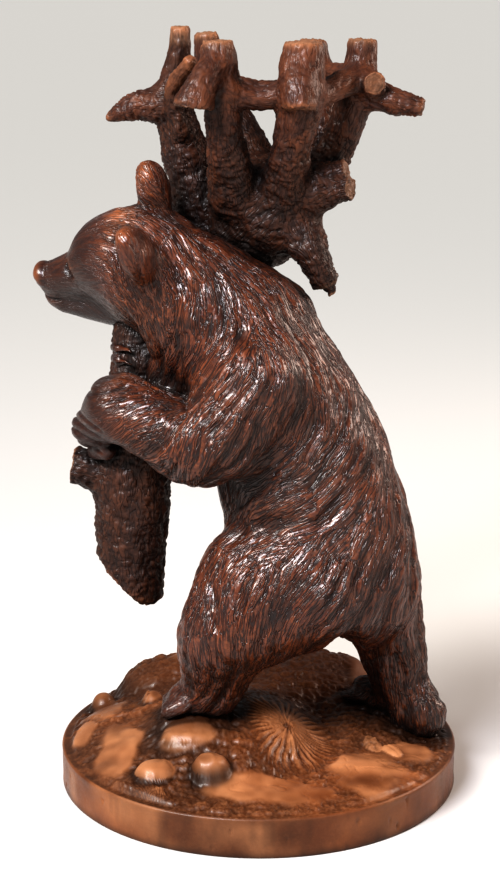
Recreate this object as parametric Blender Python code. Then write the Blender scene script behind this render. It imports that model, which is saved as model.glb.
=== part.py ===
"""A standing bear carved in wood, hugging a lopped tree that it carries over its shoulder.

Bear, tree, ground and turned base are one block of wood, so the part is one solid. The bear faces
-Y, its left side is +X, and the underside of the base rests on Z = 0 with its centre at the origin.

The figure is worked out as a field of distances: every limb is a round bar that slides along a
smooth course, every swelling is an ellipsoid, and softness says how widely two of them flow into
each other. A rough blob of balls gives the mesh its net, each corner is then moved onto the zero of
the field, and the result is joined to the turned base.
"""
from dataclasses import dataclass
from functools import cached_property

import bmesh
import bpy
import numpy as np

for leftover in list(bpy.data.objects):
    bpy.data.objects.remove(leftover, do_unlink=True)

# Driving sizes in metres. The pose is a share of the figure's own height above the base.
OVERALL_HEIGHT = 0.760
BASE_RADIUS = 0.2035
BASE_THICKNESS = 0.040
GROUND_INSET = 0.0045
GROUND_EDGE_RISE = 0.0020
GROUND_CROWN_RISE = 0.0130
RIM_EDGE_ROUND = 0.0022
FOOT_EDGE_ROUND = 0.0012

# The pose is written in millimetres for a carving 760 mm tall on a base 40 mm thick.
DRAWN_HEIGHT = 760.0
DRAWN_BASE = 40.0
FIGURE_SCALE = (OVERALL_HEIGHT - BASE_THICKNESS) * 1000.0 / (DRAWN_HEIGHT - DRAWN_BASE)

# How finely the figure is meshed.
NET_SIZE = 5.0
FIGURE_TRIANGLES = 8900
RIM_STEPS = 72

# A form is left out of the sum for points farther from it than this.
REACH_OF_A_FORM = 45.0

# Where the joints of the bear are, and how thick it is there: x, y, z, radius.
RUMP = (18, 93, 215, 69)
HIPS = (18, 72, 262, 82)
LOINS = (18, 50, 335, 80)
RIBS = (18, 15, 405, 77)
SHOULDERS = (16, -38, 475, 71)
NECK = (14, -92, 525, 54)
LEFT_HIP = (58, 48, 225, 64)
LEFT_KNEE = (68, -27, 182, 50)
LEFT_ANKLE = (58, -44, 125, 33)
LEFT_HEEL = (56, -46, 112, 24)
LEFT_SOLE = (54, -76, 102, 17)
RIGHT_HIP = (-24, 98, 220, 60)
RIGHT_KNEE = (-14, 132, 148, 40)
RIGHT_ANKLE = (-6, 146, 100, 28)
RIGHT_HEEL = (2, 166, 66, 23)
RIGHT_SOLE = (-42, 116, 72, 17)
LEFT_SHOULDER = (74, -6, 430, 52)
LEFT_ELBOW = (88, -52, 376, 42)
LEFT_WRIST = (62, -136, 404, 30)
LEFT_PALM = (34, -163, 378, 21)
RIGHT_SHOULDER = (-38, -15, 425, 54)
RIGHT_ELBOW = (-60, -82, 375, 40)
RIGHT_WRIST = (-34, -118, 428, 26)
RIGHT_PALM = (-8, -127, 436, 19)

# The head has its own frame: where it is, which way it faces, and how far it leans to its left.
HEAD_CENTRE = (12, -131, 541)
HEAD_FACING = (-0.30, -0.94, -0.16)
HEAD_LEAN = np.radians(34.0)


def head_frame():
    """Gives the head's left, forward and up directions as the rows of a matrix."""
    fore = np.array(HEAD_FACING)
    fore = fore / np.linalg.norm(fore)
    level = np.cross((0.0, 0.0, 1.0), fore)
    level = level / np.linalg.norm(level)
    raised = np.cross(fore, level)
    left = level * np.cos(HEAD_LEAN) - raised * np.sin(HEAD_LEAN)
    up = raised * np.cos(HEAD_LEAN) + level * np.sin(HEAD_LEAN)
    return np.stack([left, fore, up])


HEAD_AXES = head_frame()


def on_head(left, fore, up, radius=None):
    """Gives a point of the head's own frame in the carving's frame, with a radius if one is named."""
    point = tuple(np.array(HEAD_CENTRE) + np.array((left, fore, up)) @ HEAD_AXES)
    return point if radius is None else (*point, radius)


@dataclass(frozen=True)
class Limb:
    """A round bar along a smooth course of (x, y, z, radius) knots.

    It can be cut level at a top height, along a slant (a point and the way out of the wood), or
    blunt, which is square across its last end.
    """

    knots: tuple
    wide: float = 1.0
    top: float = None
    slant: tuple = None
    blunt: bool = False

    @cached_property
    def course(self):
        """The knots with three smooth steps put in between each two of them."""
        knots = np.array(self.knots, float)
        if len(knots) < 3:
            return knots
        ends = np.vstack([2 * knots[0] - knots[1], knots, 2 * knots[-1] - knots[-2]])
        steps = []
        for a, b, c, d in zip(ends[:-3], ends[1:-2], ends[2:-1], ends[3:]):
            for t in (0.0, 0.25, 0.5, 0.75):
                bend = (2 * a - 5 * b + 4 * c - d) * t ** 2 + (3 * b - a - 3 * c + d) * t ** 3
                steps.append(0.5 * (2 * b + (c - a) * t + bend))
        return np.array(steps + [knots[-1]])

    @cached_property
    def cuts(self):
        """The planes that cut the bar, each as a point and a unit direction out of the wood."""
        planes = []
        if self.top is not None:
            planes.append(((0, 0, self.top), (0, 0, 1)))
        if self.slant is not None:
            planes.append(self.slant)
        if self.blunt:
            planes.append((self.course[-1, :3], self.course[-1, :3] - self.course[-2, :3]))
        return [(np.array(at, float), np.array(out, float) / np.linalg.norm(out)) for at, out in planes]

    def distance(self, points):
        """Gives each point's distance to the bar, less than zero inside."""
        squeeze = np.array([1 / self.wide, 1.0, 1.0])
        nearest = np.full(len(points), 1e9)
        for a, b in zip(self.course[:-1], self.course[1:]):
            along = (b[:3] - a[:3]) * squeeze
            away = (points - a[:3]) * squeeze
            share = np.clip(away @ along / (along @ along), 0, 1)
            gap = np.sqrt(((away - share[:, None] * along) ** 2).sum(1))
            nearest = np.minimum(nearest, gap - a[3] - (b[3] - a[3]) * share)
        for at, out in self.cuts:
            nearest = np.maximum(nearest, (points - at) @ out)
        return nearest

    def balls(self):
        """Gives the balls that fill the bar roughly: centre, three radii, axes."""
        for a, b in zip(self.course[:-1], self.course[1:]):
            steps = 1 + int(np.linalg.norm((b - a)[:3]) / (0.6 * min(a[3], b[3])))
            for share in np.linspace(0, 1, steps + 1):
                x, y, z, r = a + (b - a) * share
                if all(np.dot((x, y, z) - at, out) < 0.01 for at, out in self.cuts):
                    yield (x, y, z), (r * self.wide, r, r), np.eye(3)


@dataclass(frozen=True)
class Swelling:
    """An ellipsoid, along the axes of the carving or of the head."""

    centre: tuple
    radii: tuple
    on_head: bool = True

    def distance(self, points):
        """Gives each point's distance to the ellipsoid, less than zero inside."""
        away = points - np.array(self.centre, float)
        if self.on_head:
            away = away @ HEAD_AXES.T
        near = np.linalg.norm(away / np.array(self.radii, float), axis=1)
        slope = np.linalg.norm(away / np.array(self.radii, float) ** 2, axis=1)
        return near * (near - 1) / np.maximum(slope, 1e-9)

    def balls(self):
        """Gives the one ball that fills the ellipsoid."""
        yield self.centre, self.radii, HEAD_AXES if self.on_head else np.eye(3)


@dataclass(frozen=True)
class Stage:
    """One step of the carving: a form that is added or hollowed out, and how soft the join is."""

    form: object
    soft: float
    hollow: bool = False

    @cached_property
    def bounds(self):
        """The middle of the form and how far it reaches from there."""
        centres = np.array([centre for centre, _, _ in self.form.balls()], float)
        radii = np.array([max(radii) for _, radii, _ in self.form.balls()], float)
        middle = (centres.min(0) + centres.max(0)) / 2
        return middle, (np.linalg.norm(centres - middle, axis=1) + radii).max()

    def near(self, points):
        """Tells which points lie near enough to the form for it to matter there."""
        middle, reach = self.bounds
        return np.flatnonzero(((points - middle) ** 2).sum(1) < (reach + REACH_OF_A_FORM) ** 2)


def head_stages():
    """Lists the forms of the head: skull, cheeks, muzzle, jaw, nose, brows, eyes and ears."""
    stages = [
        Stage(Swelling(on_head(0, -6, 2), (48, 50, 47)), 20),
        Stage(Swelling(on_head(0, -20, -14), (56, 50, 50)), 16),
        Stage(Swelling(on_head(0, 22, 8), (34, 28, 29)), 16),
        Stage(Limb((on_head(0, 26, -8, 29), on_head(0, 76, -13, 18))), 14),
        Stage(Limb((on_head(0, 14, -52, 30), on_head(0, 75, -40, 16.5))), 12),
        Stage(Swelling(on_head(0, 90, -5), (14, 9, 11)), 6),
        Stage(Swelling(on_head(0, 88, -17), (12, 8, 12)), 4),
        Stage(Swelling(on_head(0, 84, -33), (15, 13, 12)), 6),
    ]
    for side in (-1, 1):
        stages += [
            Stage(Swelling(on_head(side * 15, 37, 14), (10, 11, 7)), 9),
            Stage(Swelling(on_head(side * 16, 50, 8), (7, 7, 6)), 5, True),
            Stage(Swelling(on_head(side * 14, 45.5, 8), (5, 5, 5)), 1.5),
            Stage(Swelling(on_head(side * 46, -37, 42), (21, 15, 30)), 13),
            Stage(Swelling(on_head(side * 49, -20, 46), (12, 9, 17)), 5, True),
        ]
    return stages


def digit_stages():
    """Lists the four fingers of each forepaw with their claws, and the four toes of each hind paw."""
    stages = []
    for i in range(4):
        middle = i in (1, 2)
        y, z = -158 + 3 * i, 392 - 12 * i
        stages.append(Stage(Limb(((42, y, z, 9.5), (22, y - 13, z - 6, 8), (2, y - 12, z - 9, 7))), 2.5))
        stages.append(Stage(Limb(((0, y - 13, z - 9, 4.5), (-22, y - 2, z - 10, 1.8))), 3))
        z = 452 - 12 * i
        stages.append(Stage(Limb(((-18, -131, z, 9.5), (0, -139, z, 8), (14, -137, z, 7))), 2.5))
        stages.append(Stage(Limb(((14, -139, z, 4.5), (36, -122, z + 2 - i, 1.8))), 3))
        x = 36 + 12 * i
        stages.append(Stage(Limb(((x, -79 if middle else -75, 103, 9), (x, -92, 94, 6.5))), 4))
        x, y = -30 - 9 * i, 108 + 5 * i
        stages.append(Stage(Limb(((x, y, 72, 9), (x - 11, y - 15, 66, 6.5))), 4))
    return stages


def bear_stages():
    """Lists the forms of the bear, from the trunk of the body out to the digits."""
    return [
        Stage(Limb((RUMP, HIPS, LOINS, RIBS, SHOULDERS, NECK), 0.98), 1),
        Stage(Swelling((18, 20, 320), (70, 56, 80), False), 30),
        Stage(Swelling((15, -14, 476), (60, 54, 52), False), 24),
        Stage(Swelling((12, 4, 475), (50, 49, 46), False), 16),
        Stage(Swelling((4, -84, 425), (44, 30, 42), False), 14),
        Stage(Limb((LEFT_HIP, LEFT_KNEE, LEFT_ANKLE)), 26),
        Stage(Swelling((58, 4, 226), (50, 64, 60), False), 22),
        Stage(Limb((LEFT_HEEL, LEFT_SOLE)), 14),
        Stage(Limb((RIGHT_HIP, RIGHT_KNEE, RIGHT_ANKLE, RIGHT_HEEL)), 24),
        Stage(Limb((RIGHT_HEEL, RIGHT_SOLE)), 14),
        Stage(Limb((LEFT_SHOULDER, LEFT_ELBOW, LEFT_WRIST)), 18),
        Stage(Limb((LEFT_WRIST, LEFT_PALM)), 14),
        Stage(Limb((RIGHT_SHOULDER, RIGHT_ELBOW, RIGHT_WRIST)), 18),
        Stage(Limb((RIGHT_WRIST, RIGHT_PALM)), 14),
        Stage(Limb(((-60, 84, 103, 22), (110, 84, 164, 22))), 8, True),
        *head_stages(),
        *digit_stages(),
    ]


def tree_stages():
    """Lists the trunk with its slanting axe cut, the six lopped uprights, their bars and the stubs."""
    trunk = ((-2, -131, 120, 30), (-2, -130, 200, 32), (-2, -128, 300, 38), (0, -126, 365, 34),
             (0, -118, 430, 28), (-20, -112, 478, 30), (-66, -75, 516, 36), (-62, -28, 548, 43),
             (-42, 6, 582, 54))
    uprights = (
        (((-60, -64, 556, 34), (-52, -62, 600, 28), (-50, -74, 642, 23), (-52, -85, 690, 17),
          (-44, -77, 740, 11), (-44, -76, 790, 9)), 760),
        (((-10, -25, 600, 26), (25, -32, 655, 18), (38, -36, 712, 18), (35, -42, 775, 12)), 749),
        (((-10, 22, 600, 26), (22, 30, 650, 19), (38, 40, 706, 22), (33, 41, 775, 15)), 748),
        (((-40, 50, 600, 24), (-33, 79, 650, 17), (-30, 96, 708, 17), (-30, 101, 775, 11)), 748),
        (((-65, 45, 603, 28), (-85, 60, 655, 20), (-104, 58, 710, 16), (-106, 50, 775, 12)), 745),
        (((-62, 0, 603, 28), (-96, -20, 660, 19), (-108, -48, 710, 15), (-106, -54, 775, 11)), 752),
    )
    bars = (
        ((-28, -76, 660, 9), (-18, -84, 700, 8), (4, -66, 728, 7)),
        ((40, -34, 706, 12), (36, 0, 696, 11), (40, 36, 704, 12)),
        ((40, 40, 692, 13), (-16, 92, 712, 13)),
        ((-30, 94, 712, 12), (-102, 66, 712, 11)),
        ((-102, 60, 704, 11), (-114, 10, 694, 10), (-110, -46, 704, 11)),
        ((-108, -46, 704, 11), (-50, -90, 694, 12)),
    )
    twig = ((-45, -95, 684, 17), (-50, -122, 682, 14), (-52, -150, 670, 3))
    bells = (
        (((38, -38, 734, 12), (62, -52, 712, 15), (70, -64, 684, 20)), ((72, -60, 690), (0.05, -0.15, -1))),
        (((38, 34, 728, 14), (56, 36, 708, 17), (62, 38, 680, 18)), ((62, 36, 688), (0.05, 0, -1))),
    )
    stubs = (
        ((-28, 98, 700, 17), (-16, 130, 690, 13), (-10, 158, 684, 9)),
        ((-26, 102, 706, 14), (4, 110, 708, 11)),
        ((-20, 40, 606, 26), (2, 74, 622, 11), (6, 84, 625, 11)),
        ((-16, 42, 596, 24), (4, 78, 607, 11), (10, 88, 609, 11)),
        ((-20, 36, 570, 26), (-2, 50, 548, 18), (0, 66, 514, 13)),
        ((0, -136, 318, 22), (4, -176, 330, 19), (4, -186, 332, 18)),
    )
    axe_cut = ((0, -128, 199), (0, -1.05, -1))
    return [
        Stage(Limb(trunk, slant=axe_cut), 1),
        *(Stage(Limb(knots, top=top), 9) for knots, top in uprights),
        *(Stage(Limb(knots), 8) for knots in bars + (twig,)),
        *(Stage(Limb(knots, slant=cut), 8) for knots, cut in bells),
        *(Stage(Limb(knots, blunt=True), 8) for knots in stubs),
    ]


def rock_stages():
    """Lists the rises and rocks of the ground under the bear."""
    return [
        Stage(Swelling((20, -40, 30), (120, 105, 62), False), 22),
        Stage(Swelling((-95, 40, 40), (70, 95, 44), False), 22),
        Stage(Swelling((-95, -90, 38), (60, 62, 50), False), 22),
        Stage(Swelling((10, -135, 40), (70, 46, 24), False), 22),
        Stage(Swelling((-40, 110, 30), (80, 60, 34), False), 22),
        Stage(Swelling((90, -90, 32), (70, 60, 22), False), 22),
        Stage(Swelling((54, -66, 56), (46, 46, 36), False), 14),
        Stage(Swelling((-100, -112, 58), (34, 30, 18), False), 14),
        Stage(Swelling((-112, 70, 65), (30, 48, 24), False), 14),
        Stage(Swelling((131, -47, 61), (17, 18, 15), False), 3),
        Stage(Swelling((127, -101, 54), (18, 20, 12), False), 4),
        Stage(Swelling((90, -67, 76), (13, 27, 7), False), 4),
        Stage(Swelling((-12, -110, 74), (12, 11, 10), False), 5),
        Stage(Swelling((-60, -166, 50), (14, 13, 13), False), 5),
    ]


def blend(one, other, soft):
    """Joins two fields with a soft fillet."""
    reach = np.maximum(soft - np.abs(one - other), 0) / soft
    return np.minimum(one, other) - reach * reach * soft / 4


def carve(points, stages, field=None):
    """Works the stages one after another, each blended in or hollowed out softly."""
    field = np.full(len(points), 1000.0) if field is None else field.copy()
    for stage in stages:
        near = stage.near(points)
        form = stage.form.distance(points[near])
        if stage.hollow:
            field[near] = -blend(-field[near], form, stage.soft)
        else:
            field[near] = blend(field[near], form, stage.soft)
    return field


def ground_reach():
    """Gives the drawn radius of the ground inside the rim."""
    return (BASE_RADIUS - GROUND_INSET) * 1000.0 / FIGURE_SCALE


def ground_field(points, stages):
    """Gives the low dome of ground with its rocks, kept inside the rim and above the base's middle."""
    reach = ground_reach()
    edge = DRAWN_BASE + GROUND_EDGE_RISE * 1000.0
    crown = DRAWN_BASE + GROUND_CROWN_RISE * 1000.0
    ball = (reach ** 2 + (crown - edge) ** 2) / (2 * (crown - edge))
    dome = np.linalg.norm(points - np.array([0, 0, crown - ball]), axis=1) - ball
    field = carve(points, stages, dome)
    field = np.maximum(field, np.hypot(points[:, 0], points[:, 1]) - reach)
    return np.maximum(field, DRAWN_BASE / 2 - points[:, 2])


BEAR = bear_stages()
TREE = tree_stages()
ROCKS = rock_stages()


def figure_field(points):
    """Gives the distance of each point to bear, tree and ground together."""
    standing = blend(carve(points, BEAR), carve(points, TREE), 5)
    return blend(standing, ground_field(points, ROCKS), 6)


def new_object(name, mesh):
    """Puts a mesh into the scene as an object."""
    made = bpy.data.objects.new(name, mesh)
    bpy.context.scene.collection.objects.link(made)
    return made


def evaluated_mesh(made):
    """Gives a copy of the object's mesh with its modifiers worked in."""
    shown = bpy.context.evaluated_depsgraph_get()
    return bpy.data.meshes.new_from_object(made.evaluated_get(shown))


def unit_ball():
    """Gives the corners and triangles of one small round ball."""
    net = bmesh.new()
    bmesh.ops.create_icosphere(net, subdivisions=2, radius=1.0)
    corners = np.array([corner.co[:] for corner in net.verts])
    faces = np.array([[corner.index for corner in face.verts] for face in net.faces])
    net.free()
    return corners, faces


def unit_drum(steps=96):
    """Gives the corners and triangles of a closed drum one unit wide and one unit high."""
    turns = np.arange(steps) * 2 * np.pi / steps
    ring = np.stack([np.cos(turns), np.sin(turns), np.zeros(steps)], -1)
    corners = np.vstack([ring, ring + [0, 0, 1], [[0, 0, 0], [0, 0, 1]]])
    faces = []
    for i in range(steps):
        j = (i + 1) % steps
        faces += [(i, j, steps + j), (i, steps + j, steps + i)]
        faces += [(2 * steps, j, i), (2 * steps + 1, steps + i, steps + j)]
    return corners, np.array(faces)


def rough_blob():
    """Fills every added form with balls, stands them on a drum and wraps all of it in one even net."""
    ball, ball_faces = unit_ball()
    drum, drum_faces = unit_drum()
    slab = DRAWN_BASE / 2 + GROUND_EDGE_RISE * 1000.0 + 4.0
    corners = [drum * (ground_reach(), ground_reach(), slab) + (0, 0, DRAWN_BASE / 2)]
    faces = [drum_faces]
    count = len(drum)
    for stage in BEAR + TREE + ROCKS:
        if stage.hollow:
            continue
        for centre, radii, axes in stage.form.balls():
            corners.append((ball * radii) @ axes + centre)
            faces.append(ball_faces + count)
            count += len(ball)
    mesh = bpy.data.meshes.new("rough")
    mesh.from_pydata(np.vstack(corners), [], np.vstack(faces))
    rough = new_object("rough", mesh)
    wrap = rough.modifiers.new("wrap", "REMESH")
    wrap.mode = "VOXEL"
    wrap.voxel_size = NET_SIZE
    wrapped = evaluated_mesh(rough)
    bpy.data.objects.remove(rough, do_unlink=True)
    return wrapped


def settle(points, rounds=6):
    """Moves every point along the field's slope until it lies on the surface."""
    small = 0.4
    for _ in range(rounds):
        value = figure_field(points)
        slope = np.stack([figure_field(points + step) - value for step in np.eye(3) * small], -1) / small
        steep = np.maximum((slope ** 2).sum(1), 0.25)
        move = np.clip(value / steep, -4.0, 4.0)
        points = points - slope * move[:, None]
    return points


def figure_object():
    """Makes the bear, tree and ground as one closed net of about FIGURE_TRIANGLES triangles."""
    mesh = rough_blob()
    points = np.empty(len(mesh.vertices) * 3)
    mesh.vertices.foreach_get("co", points)
    points = points.reshape(-1, 3)
    points[:, 2] = np.maximum(points[:, 2], DRAWN_BASE / 2)
    away = np.hypot(points[:, 0], points[:, 1])
    low = points[:, 2] < 70
    points[low, :2] *= np.minimum(1, ground_reach() / np.maximum(away[low], 1.0))[:, None]
    points = settle(points)
    points[:, 2] = (points[:, 2] - DRAWN_BASE) * FIGURE_SCALE
    points[:, :2] *= FIGURE_SCALE
    points /= 1000.0
    points[:, 2] += BASE_THICKNESS
    mesh.vertices.foreach_set("co", points.ravel())
    figure = new_object("figure", mesh)
    thin = figure.modifiers.new("thin", "DECIMATE")
    mesh.calc_loop_triangles()
    thin.ratio = FIGURE_TRIANGLES / len(mesh.loop_triangles)
    thin.use_collapse_triangulate = True
    thinned = evaluated_mesh(figure)
    bpy.data.objects.remove(figure, do_unlink=True)
    return new_object("figure", thinned)


def rim_profile():
    """Lists the turned base's outline from the middle of its underside to the middle of its top."""
    outline = [(0.0, 0.0), (BASE_RADIUS - FOOT_EDGE_ROUND, 0.0), (BASE_RADIUS, FOOT_EDGE_ROUND)]
    for turn in np.radians((0.0, 45.0, 90.0)):
        outline.append((
            BASE_RADIUS - RIM_EDGE_ROUND * (1 - np.cos(turn)),
            BASE_THICKNESS - RIM_EDGE_ROUND * (1 - np.sin(turn)),
        ))
    outline.append((0.0, BASE_THICKNESS))
    return outline


def base_object():
    """Turns the rim's outline into the closed disc of the base."""
    net = bmesh.new()
    outline = rim_profile()
    rings = []
    for radius, height in outline[1:-1]:
        turns = np.arange(RIM_STEPS) * 2 * np.pi / RIM_STEPS
        rings.append([net.verts.new((radius * np.cos(t), radius * np.sin(t), height)) for t in turns])
    for lower, upper in zip(rings[:-1], rings[1:]):
        for i in range(RIM_STEPS):
            j = (i + 1) % RIM_STEPS
            net.faces.new((lower[i], lower[j], upper[j], upper[i]))
    net.faces.new(rings[0][::-1])
    net.faces.new(rings[-1])
    bmesh.ops.recalc_face_normals(net, faces=net.faces)
    mesh = bpy.data.meshes.new("base")
    net.to_mesh(mesh)
    net.free()
    return new_object("base", mesh)


def stained_linden():
    """Makes the plain wood material of the part."""
    wood = bpy.data.materials.new("stained_linden")
    wood.use_nodes = True
    shader = wood.node_tree.nodes["Principled BSDF"]
    shader.inputs["Base Color"].default_value = (0.105, 0.036, 0.018, 1.0)
    shader.inputs["Roughness"].default_value = 0.45
    return wood


def carved_bear():
    """Joins the figure to its base and names the solid."""
    base = base_object()
    figure = figure_object()
    join = base.modifiers.new("join", "BOOLEAN")
    join.operation = "UNION"
    join.solver = "EXACT"
    join.object = figure
    mesh = evaluated_mesh(base)
    bpy.data.objects.remove(base, do_unlink=True)
    bpy.data.objects.remove(figure, do_unlink=True)
    net = bmesh.new()
    net.from_mesh(mesh)
    bmesh.ops.remove_doubles(net, verts=net.verts, dist=0.00005)
    bmesh.ops.dissolve_degenerate(net, edges=net.edges, dist=0.00005)
    bmesh.ops.triangulate(net, faces=net.faces)
    net.to_mesh(mesh)
    net.free()
    mesh.materials.clear()
    mesh.materials.append(stained_linden())
    return new_object("carved_bear", mesh)


carved_bear()
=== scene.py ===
"""The looks of the carved wooden bear: its fur, bark, rocks, grass and worn varnish.

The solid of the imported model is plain. Here the same forms are meshed finely, as a bear in four
pieces, a tree in two and a ground with its turned rim, and the carver's tool marks are cut into
them.
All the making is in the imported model's frame, and lengths are in millimetres unless a docstring
says otherwise; objects are made in metres.
"""
import logging
import math
from collections.abc import Callable, Iterator
from dataclasses import dataclass, field
from enum import Enum
from functools import cached_property
from typing import Union

import bmesh
import bpy
import numpy as np
from bpy.types import Material, Mesh, Node, NodeSocket, NodeTree, Object
from mathutils import Euler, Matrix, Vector


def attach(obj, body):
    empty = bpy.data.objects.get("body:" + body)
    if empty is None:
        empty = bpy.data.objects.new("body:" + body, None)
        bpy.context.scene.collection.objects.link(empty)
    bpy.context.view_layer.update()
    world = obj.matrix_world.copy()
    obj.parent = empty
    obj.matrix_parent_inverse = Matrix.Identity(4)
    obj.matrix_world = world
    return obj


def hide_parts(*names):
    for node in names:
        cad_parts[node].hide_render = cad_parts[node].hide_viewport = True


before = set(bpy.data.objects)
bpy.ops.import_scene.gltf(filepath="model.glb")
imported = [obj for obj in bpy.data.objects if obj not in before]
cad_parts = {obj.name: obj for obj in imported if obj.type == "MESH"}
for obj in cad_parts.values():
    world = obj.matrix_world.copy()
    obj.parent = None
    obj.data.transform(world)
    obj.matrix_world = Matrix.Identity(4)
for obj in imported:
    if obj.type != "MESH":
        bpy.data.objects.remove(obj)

Array = np.ndarray
frozen = dataclass(frozen=True)

LOG = logging.getLogger("carved_bear")
NODE = "carved_bear"
BODY = "root"
MM = 0.001
FAR_AWAY = 1e9
TINY = 1e-9
UP = (0.0, 0.0, 1.0)


# Sizes


@frozen
class BaseSizes:
    """Sizes of the turned base and the ground on it, in millimetres."""

    radius: float = 203.5
    thickness: float = 40.0
    ground_inset: float = 4.5
    ground_edge_rise: float = 2.0
    ground_crown_rise: float = 13.0
    rim_edge_round: float = 2.2
    foot_edge_round: float = 1.2


@frozen
class MeshSizes:
    """How finely each piece is meshed, in millimetres, before it is divided once more."""

    bear: float = 3.1
    tree: float = 3.4
    ground_steps: int = 264
    rim_rows: int = 16

    @classmethod
    def chosen(cls) -> "MeshSizes":
        return cls()


BASE = BaseSizes()
MESH = MeshSizes.chosen()

# Where the joints of the bear are, and how thick it is there: x, y, z, radius.
RUMP = (18, 93, 215, 69)
HIPS = (18, 72, 262, 82)
LOINS = (18, 50, 335, 80)
RIBS = (18, 15, 405, 77)
SHOULDERS = (16, -38, 475, 71)
NECK = (14, -92, 525, 54)
LEFT_HIP = (58, 48, 225, 64)
LEFT_KNEE = (68, -27, 182, 50)
LEFT_ANKLE = (58, -44, 125, 33)
LEFT_HEEL = (56, -46, 112, 24)
LEFT_SOLE = (54, -76, 102, 17)
RIGHT_HIP = (-24, 98, 220, 60)
RIGHT_KNEE = (-14, 132, 148, 40)
RIGHT_ANKLE = (-6, 146, 100, 28)
RIGHT_HEEL = (2, 166, 66, 23)
RIGHT_SOLE = (-42, 116, 72, 17)
LEFT_SHOULDER = (74, -6, 430, 52)
LEFT_ELBOW = (88, -52, 376, 42)
LEFT_WRIST = (62, -136, 404, 30)
LEFT_PALM = (34, -163, 378, 21)
RIGHT_SHOULDER = (-38, -15, 425, 54)
RIGHT_ELBOW = (-60, -82, 375, 40)
RIGHT_WRIST = (-34, -118, 428, 26)
RIGHT_PALM = (-8, -127, 436, 19)
MIDDLE_OF_BODY = 16.0


@frozen
class HeadFrame:
    """The head's own frame: where it is, which way it faces and how far it leans to its left."""

    centre: tuple = (12, -131, 541)
    facing: tuple = (-0.30, -0.94, -0.16)
    lean: float = math.radians(34.0)

    @cached_property
    def axes(self) -> Array:
        """The head's left, forward and up directions as the rows of a matrix."""
        fore = np.array(self.facing)
        fore = fore / np.linalg.norm(fore)
        level = np.cross(UP, fore)
        level = level / np.linalg.norm(level)
        raised = np.cross(fore, level)
        left = level * np.cos(self.lean) - raised * np.sin(self.lean)
        up = raised * np.cos(self.lean) + level * np.sin(self.lean)
        return np.stack([left, fore, up])

    def at(self, left: float, fore: float, up: float, *radius: float) -> tuple:
        """Gives a point of the head's frame in the carving's frame.

        Args:
            left, fore, up: Millimetres from the middle of the skull.
            radius: Passed on behind the point, if given.
        """
        point = np.array(self.centre) + np.array((left, fore, up)) @ self.axes
        return (*point, *radius)

    def local(self, points: Array) -> Array:
        """Gives points of the carving's frame in the head's frame."""
        return (points - np.array(self.centre)) @ self.axes.T


HEAD = HeadFrame()


# Forms and fields


@frozen
class Limb:
    """A round bar along a smooth course of (x, y, z, radius) knots.

    Attributes:
        top: The height at which the bar is cut level, if any.
        slant: A point and outward direction of a slanting cut, if any.
        blunt: Whether the last end is cut square.
        pale: How pale the cut wood is, from 0 to 1.
    """

    knots: tuple
    wide: float = 1.0
    top: float = None
    slant: tuple = None
    blunt: bool = False
    pale: float = 0.0

    @cached_property
    def course(self) -> Array:
        """The knots with three smooth steps put in between each two of them (Catmull-Rom)."""
        knots = np.array(self.knots, float)
        if len(knots) < 3:
            return knots
        ends = np.vstack([2 * knots[0] - knots[1], knots, 2 * knots[-1] - knots[-2]])
        steps = []
        for a, b, c, d in zip(ends[:-3], ends[1:-2], ends[2:-1], ends[3:]):
            for t in (0.0, 0.25, 0.5, 0.75):
                bend = (2 * a - 5 * b + 4 * c - d) * t**2 + (3 * b - a - 3 * c + d) * t**3
                steps.append(0.5 * (2 * b + (c - a) * t + bend))
        return np.array(steps + [knots[-1]])

    @cached_property
    def cuts(self) -> list:
        """The cutting planes of the bar as (point, unit direction away from the wood)."""
        planes = []
        if self.top is not None:
            planes.append((np.array([0, 0, self.top]), np.array([0, 0, 1.0])))
        if self.slant is not None:
            out = np.array(self.slant[1], float)
            planes.append((np.array(self.slant[0], float), out / np.linalg.norm(out)))
        if self.blunt:
            out = (self.course[-1] - self.course[-2])[:3]
            planes.append((self.course[-1][:3], out / np.linalg.norm(out)))
        return planes

    def distance(self, points: Array) -> Array:
        """Gives each point's distance to the bar, less than zero inside."""
        return self.nearest(points)[0]

    def nearest(self, points: Array) -> tuple:
        """Gives each point's distance to the bar and the number of the stretch nearest to it.

        Args:
            points: Places, one a row.

        Returns:
            The distances and the numbers of the stretches.
        """
        squeeze = np.array([1 / self.wide, 1.0, 1.0])
        best = np.full(len(points), FAR_AWAY)
        stretch = np.zeros(len(points), int)
        for i, (a, b) in enumerate(zip(self.course[:-1], self.course[1:])):
            along = (b[:3] - a[:3]) * squeeze
            away = (points - a[:3]) * squeeze
            share = np.clip(away @ along / (along @ along), 0, 1)
            gap = away - share[:, None] * along
            gap = np.sqrt(np.einsum("ij,ij->i", gap, gap)) - a[3] - (b[3] - a[3]) * share
            stretch[gap < best] = i
            best = np.minimum(best, gap)
        for at, out in self.cuts:
            best = np.maximum(best, (points - at) @ out)
        return best, stretch

    def balls(self) -> Iterator[tuple]:
        """Gives the balls that fill the bar roughly: centre, three radii, axes.

        Returns:
            The balls, one after another.
        """
        for a, b in zip(self.course[:-1], self.course[1:]):
            steps = 1 + int(np.linalg.norm((b - a)[:3]) / (0.6 * min(a[3], b[3])))
            for share in np.linspace(0, 1, steps + 1):
                x, y, z, r = a + (b - a) * share
                if all(np.dot((x, y, z) - at, out) <= 0.01 for at, out in self.cuts):
                    yield (x, y, z), (r * self.wide, r, r), np.eye(3)


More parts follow.
